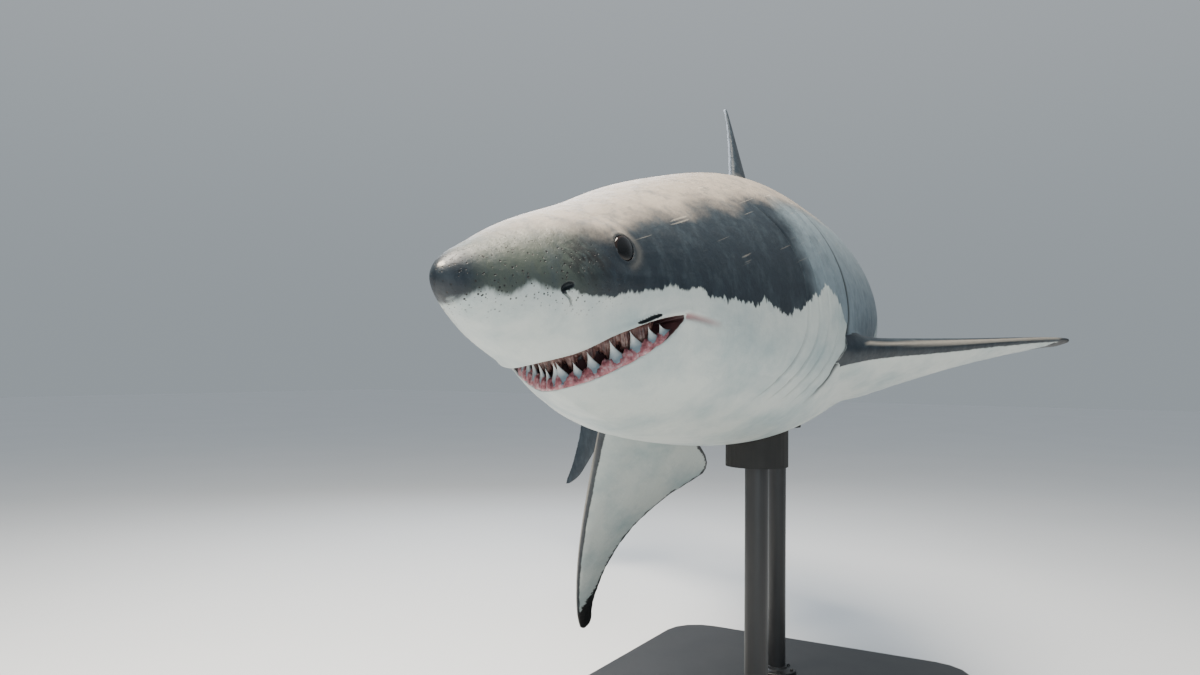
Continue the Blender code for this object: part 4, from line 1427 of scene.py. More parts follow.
    def colour_fields(self, mesh: bpy.types.Mesh, piece: Array, inside: Array) -> None:
        """Writes where each point lies on the straight animal and how its colours reach it.

        Args:
            mesh: The finished skin.
            piece: The piece of each point.
            inside: How far inside the lips each point of the mouth's hollow lies, millimetres.
        """
        world = read_rows(mesh.vertices, "co", 3, float)
        straight = FORM.straighten(world)
        along, level = straight[:, 0], straight[:, 2]
        edge = Spline(*zip(*self.boundary))(along)[:, 0]
        slate = np.clip((level - edge) / MM, -250.0, 300.0)
        # Height above the line where painted shade on the flank turns to painted sunlight on the back.
        tone = np.clip((level - read_table(self.shade_to_sun_line, along)) / MM, -150.0, 150.0)
        spiky = read_table(self.spikes, along)
        soft = 3.0 + 4.5 * smoothstep(4.6, 3.4, along)
        black = np.full(len(world), -60.0)
        (aft, up), (length, height) = self.gill_patch
        patch = np.hypot((along - aft) / length, (level - up) / height)
        black = np.maximum(black, (1 - patch) * 14.0)
        # A faint painted light on the skin just behind the eye.
        gap = np.hypot(along - EYE.along, level - EYE.height) / MM
        pale = 0.12 * bell((gap, 34.0, 8.0)) * smoothstep(-8.0, 16.0, (along - EYE.along) / MM)
        for at, size in self.scars:
            away = np.linalg.norm(straight - at, axis=1) / MM
            pale = np.maximum(pale, 1.6 * smoothstep(size, size * 0.4, away))
        for fin in self.fins:
            mine = piece == int(fin.piece)
            own = fin.locate(world[mine], straight[mine])
            slate[mine], black[mine], pale[mine] = fin.colours(*own)
            outside = 1.0 if isinstance(fin, PairedFin) else smoothstep(0.0, 3.5, own[1])
            tone[mine] = tone[mine] * (1 - outside) - 70.0 * outside
            spiky[mine], soft[mine] = (0.6 if isinstance(fin, CaudalLobe) else 0.12), 1.6
        body = piece == int(Piece.BODY)
        # Painted shade in the gill slits, wider behind the last one.
        crease, rose = self.relief.crease(straight)
        crease = crease * body
        # Painted shade in the nostrils' and furrows' hollows, lighter in the nostril's lower groove.
        hole = (piece == int(Piece.FURROW)) | (piece == int(Piece.NOSTRIL))
        crease = np.where(hole, np.where((piece == int(Piece.NOSTRIL)) & (level < -1.16), 0.55, 1.0), crease)
        snout = smoothstep(6.3, 3.9, along) * smoothstep(0.5, 1.6, along)
        gills = smoothstep(18.6, 22.4, along) * smoothstep(46.0, 32.0, along)
        fields = {
            "slate": slate,
            "tone": tone,
            "spiky": spiky,
            "soft": soft,
            "black": black,
            "crease": crease,
            "rose": rose * body,
            "inside": inside,
            "pale": pale,
            "nose": smoothstep(5.8, 3.2, along),
            "rear": smoothstep(26.0, 38.0, along),
            "green": snout * smoothstep(2.0, 1.1, level) * body,
            "flank": gills * smoothstep(5.5, 2.0, level) * body,
            "streaked": bell((along, 5.2, 1.0), (level, 0.1, 0.95)),
        }
        for name, values in fields.items():
            write_field(mesh, name, values)
        layer = mesh.attributes.new("straight", "FLOAT_VECTOR", "POINT")
        layer.data.foreach_set("vector", (straight * PERCENT).astype(np.float32).ravel())

    def build(self) -> bpy.types.Object:
        """Makes the whole skin and dresses it.

        Returns:
            The skin.
        """
        body = self.grid.build(self.relief)
        log.info("body grid: %d points", len(body.data.vertices))
        self.join(body)
        self.clean(body.data)
        piece, inside = self.soften(body.data)
        self.colour_fields(body.data, piece, inside)
        kinds = read_rows(body.data.polygons, "material_index")
        body.data.materials.clear()
        body.data.materials.append(DermalSkin().build())
        body.data.materials.append(MouthLining().build())
        body.data.polygons.foreach_set("material_index", (kinds == int(Piece.MOUTH)).astype(int))
        body.data.shade_smooth()
        nodes = [
            "head", "lower_jaw", "gill_region", "trunk_front", "trunk_middle", "trunk_rear", "tail_stock",
            "pectoral_fin_left", "pectoral_fin_right", "pelvic_fin_left", "pelvic_fin_right",
            "dorsal_fin", "second_dorsal_fin", "anal_fin", "caudal_fin_upper", "caudal_fin_lower",
        ]
        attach(body, "root")
        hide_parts(*nodes)
        return body


# --- Materials ---
def feed(socket: Socket, value: Socket | str | float | Sequence[float]) -> None:
    """Joins an output to an input, or sets the input to a value or to a hex colour.

    Args:
        socket: The input.
        value: What feeds it.
    """
    if isinstance(value, Socket):
        socket.id_data.links.new(value, socket)
    else:
        socket.default_value = linear(value) if isinstance(value, str) else value


def add_node(tree: bpy.types.NodeTree, kind: str, *values, output: str = "", **named) -> Socket:
    """Adds a node with its settings and links.

    Args:
        tree: The material's tree.
        kind: The node's type, without the ShaderNode in front.
        *values: What feeds its first inputs: outputs, values or hex colours.
        output: The output that is wanted, or nothing for the first live one.
        **named: What feeds its other inputs, by name with _ for a blank. A name that starts with a small
            letter is one of the node's own properties.

    Returns:
        The wanted output.
    """
    made = tree.nodes.new("ShaderNode" + kind)
    for key, value in named.items():
        if key[0].islower():
            setattr(made, key, value)
    for number, value in enumerate(values):
        feed(made.inputs[number], value)
    for key, value in named.items():
        if not key[0].islower():
            feed(made.inputs[key.replace("_", " ")], value)
    return made.outputs[output] if output else next(one for one in made.outputs if one.enabled)


def new_material(name: str) -> tuple[Adder, bpy.types.Node]:
    """Starts a material.

    Args:
        name: What the real material is.

    Returns:
        What adds nodes to the material, and its shader.
    """
    made = bpy.data.materials.new(name)
    made.use_nodes = True
    return partial(add_node, made.node_tree), made.node_tree.nodes["Principled BSDF"]


def finish_material(shader: bpy.types.Node, **sockets) -> bpy.types.Material:
    """Ends a material.

    Args:
        shader: The material's shader.
        **sockets: What feeds its sockets, by name with _ for a blank.

    Returns:
        The material.
    """
    for key, value in sockets.items():
        feed(shader.inputs[key.replace("_", " ")], value)
    return next(made for made in bpy.data.materials if made.node_tree == shader.id_data)


@dataclass
class DermalSkin:
    """Shark skin, cast and airbrushed: a satin hide of fine denticles, slate above and white below.

    The airbrush gives a ragged edge of fine upright streaks, deep slate over the edge, partly painted shade
    of the flank, that turns to a pale brown back of painted sunlight, black sense pores, old scratches, pale
    scars, painted shade in the gill slits, nostrils and furrows, and painted highlights on the fins' leading
    edges and behind the eye. Sizes are in millimetres where nothing else is said.
    """

    deep: str = "#101d27"  # over the white; the slate, partly painted shade of the flank
    # The pale back is painted sunlight on the top of the head.
    back: str = "#8b8379"
    rear: str = "#5c5c5a"  # the back behind the gills
    flank: str = "#6b7a83"  # behind the gills
    green: str = "#434c44"  # the snout's sides
    nose: str = "#757067"  # the snout's top
    cloud: str = "#313d45"
    white: str = "#bdc4c0"
    white_shade: str = "#869ca1"
    black: str = "#0e1013"
    # Painted shade in the gill slits, behind the last gill flap, in the nostrils and in the furrows.
    crease: str = "#1b2226"
    rose: str = "#8d6467"
    # Pale scars and scratches, and painted highlight on the fins' leading edges and on the skin behind the
    # eye.
    scar_and_highlight: str = "#c9c2b4"
    streak_width: float = 8.0
    streak_depth: float = 25.0
    streak_height: float = 34.0
    streak_reach: float = 36.0  # how far the streaks and the lumps carry the slate's edge
    lump_reach: float = 40.0
    blotch_reach: float = 34.0  # how far the blotches carry the black marks' edge
    pore_spacing: float = 7.0
    pore_least: float = 0.11  # the smallest pore's radius, and what the largest has more, of the spacing
    pore_more: float = 0.18
    denticle: float = 1.6  # drawn several times coarser than the real 0.2 mm, or it would not show
    scratch: Triple = (0.11, 0.06, 0.0035)  # metres along, across and up, before its slant
    scratch_slant: float = -14.0  # degrees
    nostril_streak: Triple = (0.030, 0.030, 0.010)
    nostril_streak_slant: float = 63.0
    lumps: float = 22.0  # in a metre, 45 mm each
    blotches: float = 60.0  # 17 mm
    clouds: float = 9.0  # 110 mm
    white_clouds: float = 7.0  # 140 mm
    dimples: float = 45.0  # 22 mm
    specks: Triple = (34.0, 34.0, 14.0)  # 29 mm long and 71 mm high
    fields: tuple[str, ...] = ("slate", "rose", "black", "crease", "spiky", "soft", "tone", "nose", "rear",
                               "flank", "green", "streaked", "pale")

    def __post_init__(self) -> None:
        """Starts the material and reads the skin's fields and each point's place on the straight animal."""
        add, self.shader = new_material("cast_shark_skin")
        self.add = add
        self.place = add("Attribute", attribute_name="straight", output="Vector")
        self.field_of = {name: add("Attribute", attribute_name=name, output="Fac") for name in self.fields}
        self.reach = self.field_of["slate"]

    def build(self) -> bpy.types.Material:
        """Makes the material.

        Returns:
            The material.
        """
        pores = self.pores()
        layers = (
            (self.ragged(), self.slate_cloud()),
            (self.scratches(), self.scar_and_highlight),
            (self.field_of["rose"], self.rose),
            (self.blotched(), self.black),
            (pores, self.black),
            # Painted shade in the slits, nostrils and furrows.
            (self.field_of["crease"], self.crease),
        )
        colour = self.painted(self.white_cloud(), layers)
        grain = self.add("TexNoise", Vector=self.place, Scale=1000 / self.denticle, Detail=2.0, Roughness=0.6)
        dimple = self.add("TexNoise", Vector=self.place, Scale=self.dimples, Detail=4.0, Roughness=0.55)
        gloss = self.add("MapRange", dimple, 0.3, 0.7, 0.40, 0.56)
        bump = self.add("Bump", Height=dimple, Strength=0.6, Distance=0.003)
        bump = self.add("Bump", Height=grain, Strength=0.35, Distance=0.0006, Normal=bump)
        bump = self.add("Bump", Height=pores, Strength=0.8, Distance=0.001, Normal=bump, invert=True)
        return finish_material(self.shader, Base_Color=colour, Roughness=gloss, Normal=bump)

    def painted(self, colour: Socket | str, layers: Sequence[tuple[Socket, Socket | str]]) -> Socket:
        """Sprays coats over a colour.

        Args:
            colour: What they cover.
            layers: Each coat's mask and colour.

        Returns:
            The colour on top.
        """
        for mask, over in layers:
            colour = self.add("Mix", Factor=mask, A=colour, B=over, data_type="RGBA")
        return colour

    def ragged(self) -> Socket:
        """The slate's mask with its lumps, upright streaks and flecks.

        Returns:
            The mask.
        """
        stretch = tuple(1000 / size for size in (self.streak_width, self.streak_depth, self.streak_height))
        stretched = self.add("VectorMath", self.place, stretch, operation="MULTIPLY")
        streak = self.add("TexNoise", Vector=stretched, Scale=1.0, Detail=4.0, Roughness=0.66)
        lump = self.add("TexNoise", Vector=self.place, Scale=self.lumps, Detail=3.0)
        total = self.add("Math", streak, self.streak_reach, -self.streak_reach / 2, operation="MULTIPLY_ADD")
        total = self.add("Math", lump, self.lump_reach, total, operation="MULTIPLY_ADD")
        total = self.add("Math", total, self.lump_reach / 2, operation="SUBTRACT")
        total = self.add("Math", total, self.field_of["spiky"], self.reach, operation="MULTIPLY_ADD")
        start = self.add("Math", self.field_of["soft"], -1.0, operation="MULTIPLY")
        return self.add("MapRange", total, start, self.field_of["soft"], interpolation_type="SMOOTHSTEP")

    def blotched(self) -> Socket:
        """The black marks' mask, broken along their edges.

        Returns:
            The mask.
        """
        patch = self.add("TexNoise", Vector=self.place, Scale=self.blotches, Detail=4.0, Roughness=0.65)
        total = self.add("Math", patch, self.blotch_reach, -18.0, operation="MULTIPLY_ADD")
        total = self.add("Math", total, self.field_of["black"], operation="ADD")
        return self.add("MapRange", total, -1.0, 3.0, interpolation_type="SMOOTHSTEP")

    def pores(self) -> Socket:
        """Black dots of the sense pores over the snout, round the eye and under the chin's edge.

        Returns:
            The mask.
        """
        cells = self.add("TexVoronoi", Vector=self.place, Scale=1000 / self.pore_spacing, Randomness=1.0)
        size = self.add("SeparateColor", cells.node.outputs["Color"])
        radius = self.add("Math", size, self.pore_more, self.pore_least, operation="MULTIPLY_ADD")
        inside = self.add("Math", radius, cells, operation="SUBTRACT")
        dot = self.add("MapRange", inside, -0.02, 0.05)
        live = self.add("MapRange", self.add("SeparateXYZ", self.place), 0.34, 0.18)
        for outer, inner in ((-38.0, -6.0), (105.0, 62.0)):
            band = self.add("MapRange", self.reach, outer, inner)
            live = self.add("Math", live, band, operation="MULTIPLY")
        return self.add("Math", live, dot, operation="MULTIPLY", use_clamp=True)

    def scratches(self) -> Socket:
        """A few straight healed scratches on the slate, pale and thin.

        Returns:
            The mask.
        """
        turn = (0.0, math.radians(self.scratch_slant), 0.0)
        slanted = self.add("Mapping", Vector=self.place, Rotation=turn, Scale=self.scratch,
                           vector_type="TEXTURE")
        line = self.add("TexNoise", Vector=slanted, Scale=1.0, Detail=0.0)
        thin = self.add("MapRange", line, 0.79, 0.83, To_Max=0.2)
        above = self.add("MapRange", self.reach, 70.0, 110.0)
        return self.add("Math", thin, above, operation="MULTIPLY")

    def slate_cloud(self) -> Socket:
        """Deep slate, partly painted shade, that turns to the pale back of painted sunlight and to the flank;
        green on the snout, clouded and speckled.

        Returns:
            The colour.
        """
        cloud = self.add("TexNoise", Vector=self.place, Scale=self.clouds, Detail=6.0, Roughness=0.62)
        # Where the deep slate's painted shade turns to the painted sunlight of the back.
        tone = self.add("Math", cloud, 120.0, self.field_of["tone"], operation="MULTIPLY_ADD")
        turned = self.add("MapRange", tone, 28.0, 98.0, interpolation_type="SMOOTHSTEP")
        wave = self.add("Math", cloud, 0.9, self.field_of["flank"], operation="MULTIPLY_ADD")
        gills = self.add("MapRange", wave, 0.55, 1.25, interpolation_type="SMOOTHSTEP")
        stretched = self.add("VectorMath", self.place, self.specks, operation="MULTIPLY")
        speck = self.add("TexNoise", Vector=stretched, Scale=1.0, Detail=6.0, Roughness=0.72)
        turn = (0.0, math.radians(self.nostril_streak_slant), 0.0)
        slanted = self.add("Mapping", Vector=self.place, Rotation=turn, Scale=self.nostril_streak,
                           vector_type="TEXTURE")
        streak = self.add("TexNoise", Vector=slanted, Scale=1.0, Detail=3.0, Roughness=0.6)
        dark = self.add("MapRange", streak, 0.42, 0.58)
        green, pale, streaked = (
            self.add("Math", part, most, operation="MULTIPLY", use_clamp=True)
            for part, most in (
                (self.field_of["green"], 0.78),
                (self.field_of["pale"], 0.8),
                (dark, self.field_of["streaked"]),
            )
        )
        upper = ((self.field_of["nose"], self.nose), (self.field_of["rear"], self.rear))
        return self.painted(self.deep, (
            (turned, self.painted(self.back, upper)),
            (gills, self.flank),
            (green, self.green),
            (self.add("MapRange", speck, 0.48, 0.74, To_Max=0.7), self.cloud),
            (streaked, self.black),
            # Pale scars, and painted highlights on the fins' leading edges and behind the eye.
            (pale, self.scar_and_highlight),
        ))

    def white_cloud(self) -> Socket:
        """White with faint grey-teal clouds.

        Returns:
            The colour.
        """
        cloud = self.add("TexNoise", Vector=self.place, Scale=self.white_clouds, Detail=5.0, Roughness=0.6)
        shade = self.add("MapRange", cloud, 0.42, 0.72, To_Max=0.75)
        return self.painted(self.white, ((shade, self.white_shade),))


@dataclass(frozen=True)
class MouthLining:
    """Wet silicone of the mouth's inside: rose brown and blotched, white where it turns over the lip."""

    lip: str = "#c3cbc7"
    rose: str = "#5a3a3c"
    brown: str = "#241717"
    blotch: float = 16.0  # millimetres
    turned_in: float = 4.0  # millimetres of the lip's own white inside its edge

    def build(self) -> bpy.types.Material:
        """Makes the material.

        Returns:
            The material.
        """
        add, shader = new_material("mouth_lining_silicone")
        place = add("TexCoord", output="Object")
        inside = add("Attribute", attribute_name="inside", output="Fac")
        cloud = add("TexNoise", Vector=place, Scale=1000 / self.blotch, Detail=4.0)
        flesh = add("Mix", Factor=cloud, A=self.brown, B=self.rose, data_type="RGBA")
        uneven = add("Math", cloud, -3.0, inside, operation="MULTIPLY_ADD")
        turned = add("MapRange", uneven, self.turned_in - 2.5, self.turned_in)
        tint = add("Mix", Factor=turned, A=self.lip, B=flesh, data_type="RGBA")
        bump = add("Bump", Height=cloud, Strength=0.5, Distance=0.004)
        return finish_material(shader, Base_Color=tint, Roughness=0.36, Normal=bump)


@dataclass(frozen=True)
class GumSilicone:
    """Tinted silicone gums, wet and pink, with random blotches of painted highlight and brown painted shade.
    """

    name: str
    pink: str = "#a8686e"
    # Pale is painted highlight and brown painted shade, both scattered at random.
    pale: str = "#c9b1b2"
    brown: str = "#5a3034"
    blotch: float = 11.0  # millimetres

    def build(self) -> bpy.types.Material:
        """Makes the material.

        Returns:
            The material.
        """
        add, shader = new_material(self.name)
        place = add("TexCoord", output="Object")
        cloud = add("TexNoise", Vector=place, Scale=1000 / self.blotch, Detail=5.0, Roughness=0.65)
        tint = self.pink
        # Random blotches: the paler ones painted highlight, the brown ones painted shade.
        for start, end, over in ((0.5, 0.7, self.pale), (0.48, 0.3, self.brown)):
            mask = add("MapRange", cloud, start, end)
            tint = add("Mix", Factor=mask, A=tint, B=over, data_type="RGBA")
        bump = add("Bump", Height=cloud, Strength=0.5, Distance=0.002)
        return finish_material(shader, Base_Color=tint, Roughness=0.28, Normal=bump)


@dataclass(frozen=True)
class ToothEnamel:
    """Cast resin teeth: ivory at the tip, blue-grey towards the foot, glossy, with faint striae."""

    ivory: str = "#cdd1ce"
    blue: str = "#7f929b"
    striae: float = 1.2  # millimetres
    clouds: float = 90.0  # in a metre, 11 mm each

    def build(self) -> bpy.types.Material:
        """Makes the material.

        Returns:
            The material.
        """
        add, shader = new_material("cast_resin_tooth")
        place = add("TexCoord", output="Object")
        level = add("Attribute", attribute_name="level", output="Fac")
        cloud = add("TexNoise", Vector=place, Scale=self.clouds, Detail=3.0)
        line = add("TexNoise", Vector=place, Scale=1000 / self.striae, Detail=1.0)
        uneven = add("Math", cloud, 0.5, level, operation="MULTIPLY_ADD")
        high = add("MapRange", uneven, 0.45, 0.95)
        tint = add("Mix", Factor=high, A=self.blue, B=self.ivory, data_type="RGBA")
        bump = add("Bump", Height=line, Strength=0.15, Distance=0.0003)
        return finish_material(shader, Base_Color=tint, Roughness=0.22, Normal=bump)


@dataclass(frozen=True)
class EyeGlass:
    """A blown glass eye: near black, with a thin brown iris under a clear polished cornea."""

    black: str = "#050608"
    iris: str = "#2c1d18"
    fibres: float = 420.0  # in a metre, 2.4 mm each

    def build(self) -> bpy.types.Material:
        """Makes the material.

        Returns:
            The material.
        """
        add, shader = new_material("blown_glass_eye")
        place = add("TexCoord", output="Object")
        ring = add("Attribute", attribute_name="iris", output="Fac")
        fibre = add("TexNoise", Vector=place, Scale=self.fibres, Detail=3.0)
        part = add("Math", ring, fibre, operation="MULTIPLY")
        tint = add("Mix", Factor=part, A=self.black, B=self.iris, data_type="RGBA")
        return finish_material(shader, Base_Color=tint, Roughness=0.10, Specular_IOR_Level=0.35,
                               Coat_Weight=0.25, Coat_Roughness=0.03)


@dataclass(frozen=True)
class PowderCoat:
    """Polyester powder coat baked on steel: dark, with the fine orange-peel grain that it cures to."""

    colour: str = "#1b1c1e"
    dusty: str = "#2a2b2d"
    grain: float = 2.6  # millimetres
    dust: float = 9.0  # in a metre, 110 mm each

    def build(self) -> bpy.types.Material:
        """Makes the material.

        Returns:
            The material.
        """
        add, shader = new_material("powder_coated_steel")
        place = add("TexCoord", output="Object")
        peel = add("TexNoise", Vector=place, Scale=1000 / self.grain, Detail=2.0)
        dust = add("TexNoise", Vector=place, Scale=self.dust, Detail=5.0)
        tint = add("Mix", Factor=dust, A=self.colour, B=self.dusty, data_type="RGBA")
        gloss = add("MapRange", dust, To_Min=0.36, To_Max=0.5)
        bump = add("Bump", Height=peel, Strength=0.25, Distance=0.0005)
        return finish_material(shader, Base_Color=tint, Roughness=gloss, Normal=bump)


@dataclass(frozen=True)
class SaddleRubber:
    """Moulded neoprene rubber of the saddles: matt black with a fine moulded grain."""

    colour: str = "#141414"
    worn: str = "#222222"
    grain: float = 1.8  # millimetres
    clouds: float = 30.0  # in a metre, 33 mm each

    def build(self) -> bpy.types.Material:
        """Makes the material.

        Returns:
            The material.
        """
        add, shader = new_material("moulded_neoprene")
        place = add("TexCoord", output="Object")
        grain = add("TexVoronoi", Vector=place, Scale=1000 / self.grain)
        cloud = add("TexNoise", Vector=place, Scale=self.clouds, Detail=4.0)
        tint = add("Mix", Factor=cloud, A=self.colour, B=self.worn, data_type="RGBA")
        bump = add("Bump", Height=grain, Strength=0.3, Distance=0.0005)
        return finish_material(shader, Base_Color=tint, Roughness=0.75, Normal=bump)


@dataclass(frozen=True)
class StudioPaint:
    """Matt emulsion on the studio floor: pale and plain."""

    colour: str = "#dadde0"
    shade: str = "#d3d7da"
    clouds: float = 0.8  # in a metre, 1.25 m each

    def build(self) -> bpy.types.Material:
        """Makes the material.

        Returns:
            The material.
        """
        add, shader = new_material("matt_studio_paint")
        place = add("TexCoord", output="Object")
        cloud = add("TexNoise", Vector=place, Scale=self.clouds, Detail=2.0)
        tint = add("Mix", Factor=cloud, A=self.colour, B=self.shade, data_type="RGBA")
        return finish_material(shader, Base_Color=tint, Roughness=0.9)


# --- Eyes, gums and teeth ---
@dataclass
class Eye:
    """A round, flattish glass eye with a raised cornea."""

    side: Side
    rows: int = 40
    count: int = 56

    def build(self) -> bpy.types.Object:
        """Makes the eye and dresses it.

        Returns:
            The eye.
        """
        name = "eye_" + self.side.name.lower()
        points, faces, out = EYE.ball(self.side, self.rows, self.count)
        made = new_object(name + "_glass", points, faces)
        write_field(made.data, "iris", smoothstep(0.80, 0.88, out) * smoothstep(1.0, 0.94, out))
        made.data.materials.append(EyeGlass().build())
        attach(made, "root")
        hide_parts(name)
        return made


@dataclass
class ToothShape:
    """A tooth's proportions, in millimetres."""

    height: float
    width: float
    rake: float  # degrees that the tip leans outwards
    hook: float  # how far the tip leans towards the corner of the mouth, part of the height
    thickness: float = 0.30  # part of the width
    hollow: float = 1.25  # above 1 the sides are hollow
    serration: float = 0.45  # millimetres
    levels: int = 34
    around: int = 12


@dataclass
class Jaw:
    """One gum with its row of teeth, from one corner of the mouth to the other."""

    name: str
    rise: int  # 1 for the lower jaw, -1 for the upper
    drawn: float  # how far in its line is drawn from the lower lip
    gum_half: float  # millimetres
    gum_height: float
    swell: float  # how much the gum swells round a tooth; below 0 it swells between them
    sink: float  # how deep its foot stands in the jaw, millimetres
    stop: float  # percent before the corner
    # Distance from the middle of the jaw, millimetres, and size of each tooth, the same on both sides.
    places: Table
    tooth: ToothShape
    gum_finish: GumSilicone
    path_points: int = 420

    def __post_init__(self) -> None:
        """Finds the gum's line and how open the mouth is over it."""
        self.line = MOUTH.path(MOUTH.lower_at, self.drawn, self.path_points, self.stop)
        run = np.gradient(self.line, axis=0)
        length = np.linalg.norm(run, axis=1)
        self.run = run / length[:, None]
        self.out = np.stack([-self.run[:, 1], self.run[:, 0]], axis=1)
        self.walked = walk(self.line) / MM
        self.walked -= self.walked[-1] / 2
        low, high = MOUTH.heights(self.line[:, 0])
        room = (high - low) / MM
        self.small = np.minimum(1.0, room / (self.gum_height + self.tooth.height + 12.0))

    def floor(self, along: Array) -> Array:
        """Height of the gum's foot, percent."""
        low, high = MOUTH.heights(along)
        return (low if self.rise > 0 else high) - self.rise * self.sink * MM

    def tooth_places(self) -> list[tuple[float, float]]:
        """Where the teeth stand, millimetres from the middle of the jaw, and their sizes."""
        right = [(at, size) for at, size in self.places if at < self.walked[-1] - 3]
        return [(-at, size) for at, size in reversed(right)] + right

    def gum_rings(self, places: Sequence[float]) -> list[Array]:
        """Sections of the gum, swollen and dipping along its row of teeth.

        Args:
            places: Where the teeth stand, millimetres from the middle.

        Returns:
            Rings in the shared frame, metres.
        """
        spots = np.asarray(places)
        turn = np.linspace(0.0, math.pi, 18)
        rings = []
        for i in range(self.path_points):
            at = float(self.walked[i])
            away = np.sort(np.abs(spots - at))
            pitch = max(float(away[0] + away[1]), 12.0) / 2
            wave = math.cos(math.pi * min(float(away[0]) / pitch, 1.0))
            lump = 1.0 + self.swell * wave + 0.07 * math.sin(at * 0.43 + 1.3) + 0.05 * math.sin(at * 1.1)
            small = float(self.small[i])
            end = math.sqrt(min(1.0, (1 - abs(at) / self.walked[-1]) * 16 + 0.02))
            half = self.gum_half * MM * end * (0.75 + 0.25 * small) * (1 + 0.5 * (lump - 1))
            tall = (self.gum_height * lump * small * end + self.sink) * MM
            side = np.cos(turn) * half
            plan = self.line[i] + side[:, None] * self.out[i]
            ripple = 1 + 0.07 * np.sin(turn * 6 + at * 0.31) * np.sin(turn)
            height = self.floor(plan[:, 0]) + self.rise * np.sin(turn) ** 0.8 * tall * ripple
            rings.append(FORM.to_world(np.column_stack([plan, height])))
        return rings

    def tooth_mesh(self, at: float, size: float) -> tuple[Array, list[tuple[int, ...]]]:
        """One tooth: a serrated blade with hollow sides on a swollen foot.

        Args:
            at: Where it stands, millimetres from the middle.
            size: Its size, 1 for the shape's own height and width.

        Returns:
            Its points in the shared frame, metres, and its faces.
        """
        shape = self.tooth
        line, run, out = (
            np.array([np.interp(at, self.walked, column) for column in rows.T])
            for rows in (self.line, self.run, self.out)
        )
        small = float(np.interp(at, self.walked, self.small))
        foot_up = self.gum_height * small * 0.35 + self.sink
        ends = self.floor(np.array([line[0] - 0.1 * run[0], line[0] + 0.1 * run[0]]))
        slope = float(ends[1] - ends[0]) / 0.2
        foot = float(self.floor(line[0])) + self.rise * foot_up * MM
        height = (shape.height + self.gum_height * 0.65) * size * MM
        width = shape.width * size**0.7 * MM
        lean = math.tan(math.radians(shape.rake))
        turn = np.linspace(0.0, math.tau, shape.around, endpoint=False)
        rings = []
        for level in np.linspace(0.0, 1.0, shape.levels):
            part = (1 - level) ** shape.hollow * (1 + 0.16 * math.exp(-level / 0.10))
            half = width / 2 * max(part, 0.02)
            saw = (level * shape.height * 0.8) % 1.0
            half += shape.serration * MM * (saw - 0.5) * 0.5 if level < 0.96 else 0.0
            deep = width * shape.thickness / 2 * max((1 - level) ** 0.75, 0.03)
            section_run = np.sign(np.cos(turn)) * np.abs(np.cos(turn)) ** 0.8 * half
            section_out = np.sin(turn) * deep * (1 + 0.25 * np.sin(turn))
            hook = math.copysign(1.0, at) * shape.hook * level**1.5 * height
            forth = lean * level * height - 0.10 * height * math.sin(math.pi * level)
            plan = line + (section_run + hook)[:, None] * run + (section_out + forth)[:, None] * out
            up = foot + self.rise * level * height + slope * section_run * (1 - level)
            rings.append(FORM.to_world(np.column_stack([plan, up])))
        return loft(rings)

    def build(self) -> list[bpy.types.Object]:
        """Makes the gum and its teeth and dresses them.

        Returns:
            The gum and the teeth.
        """
        places = self.tooth_places()
        gum = new_object(self.name + "_flesh", *loft(self.gum_rings([at for at, _ in places])))
        gum.data.materials.append(self.gum_finish.build())
        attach(gum, "root")
        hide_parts(self.name)
        points: list[Array] = []
        faces: list[tuple[int, ...]] = []
        start = 0
        for at, size in places:
            some, flat = self.tooth_mesh(at, size)
            points.append(some)
            faces.extend(tuple(corner + start for corner in face) for face in flat)
            start += len(some)
        teeth = new_object(self.name.replace("gum", "teeth"), np.concatenate(points), faces)
        level = np.tile(np.repeat(np.linspace(0.0, 1.0, self.tooth.levels), self.tooth.around), len(places))
        write_field(teeth.data, "level", level)
        teeth.data.materials.append(ToothEnamel().build())
        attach(teeth, "root")
        log.info("%s: %d teeth", self.name, len(places))
        return [gum, teeth]


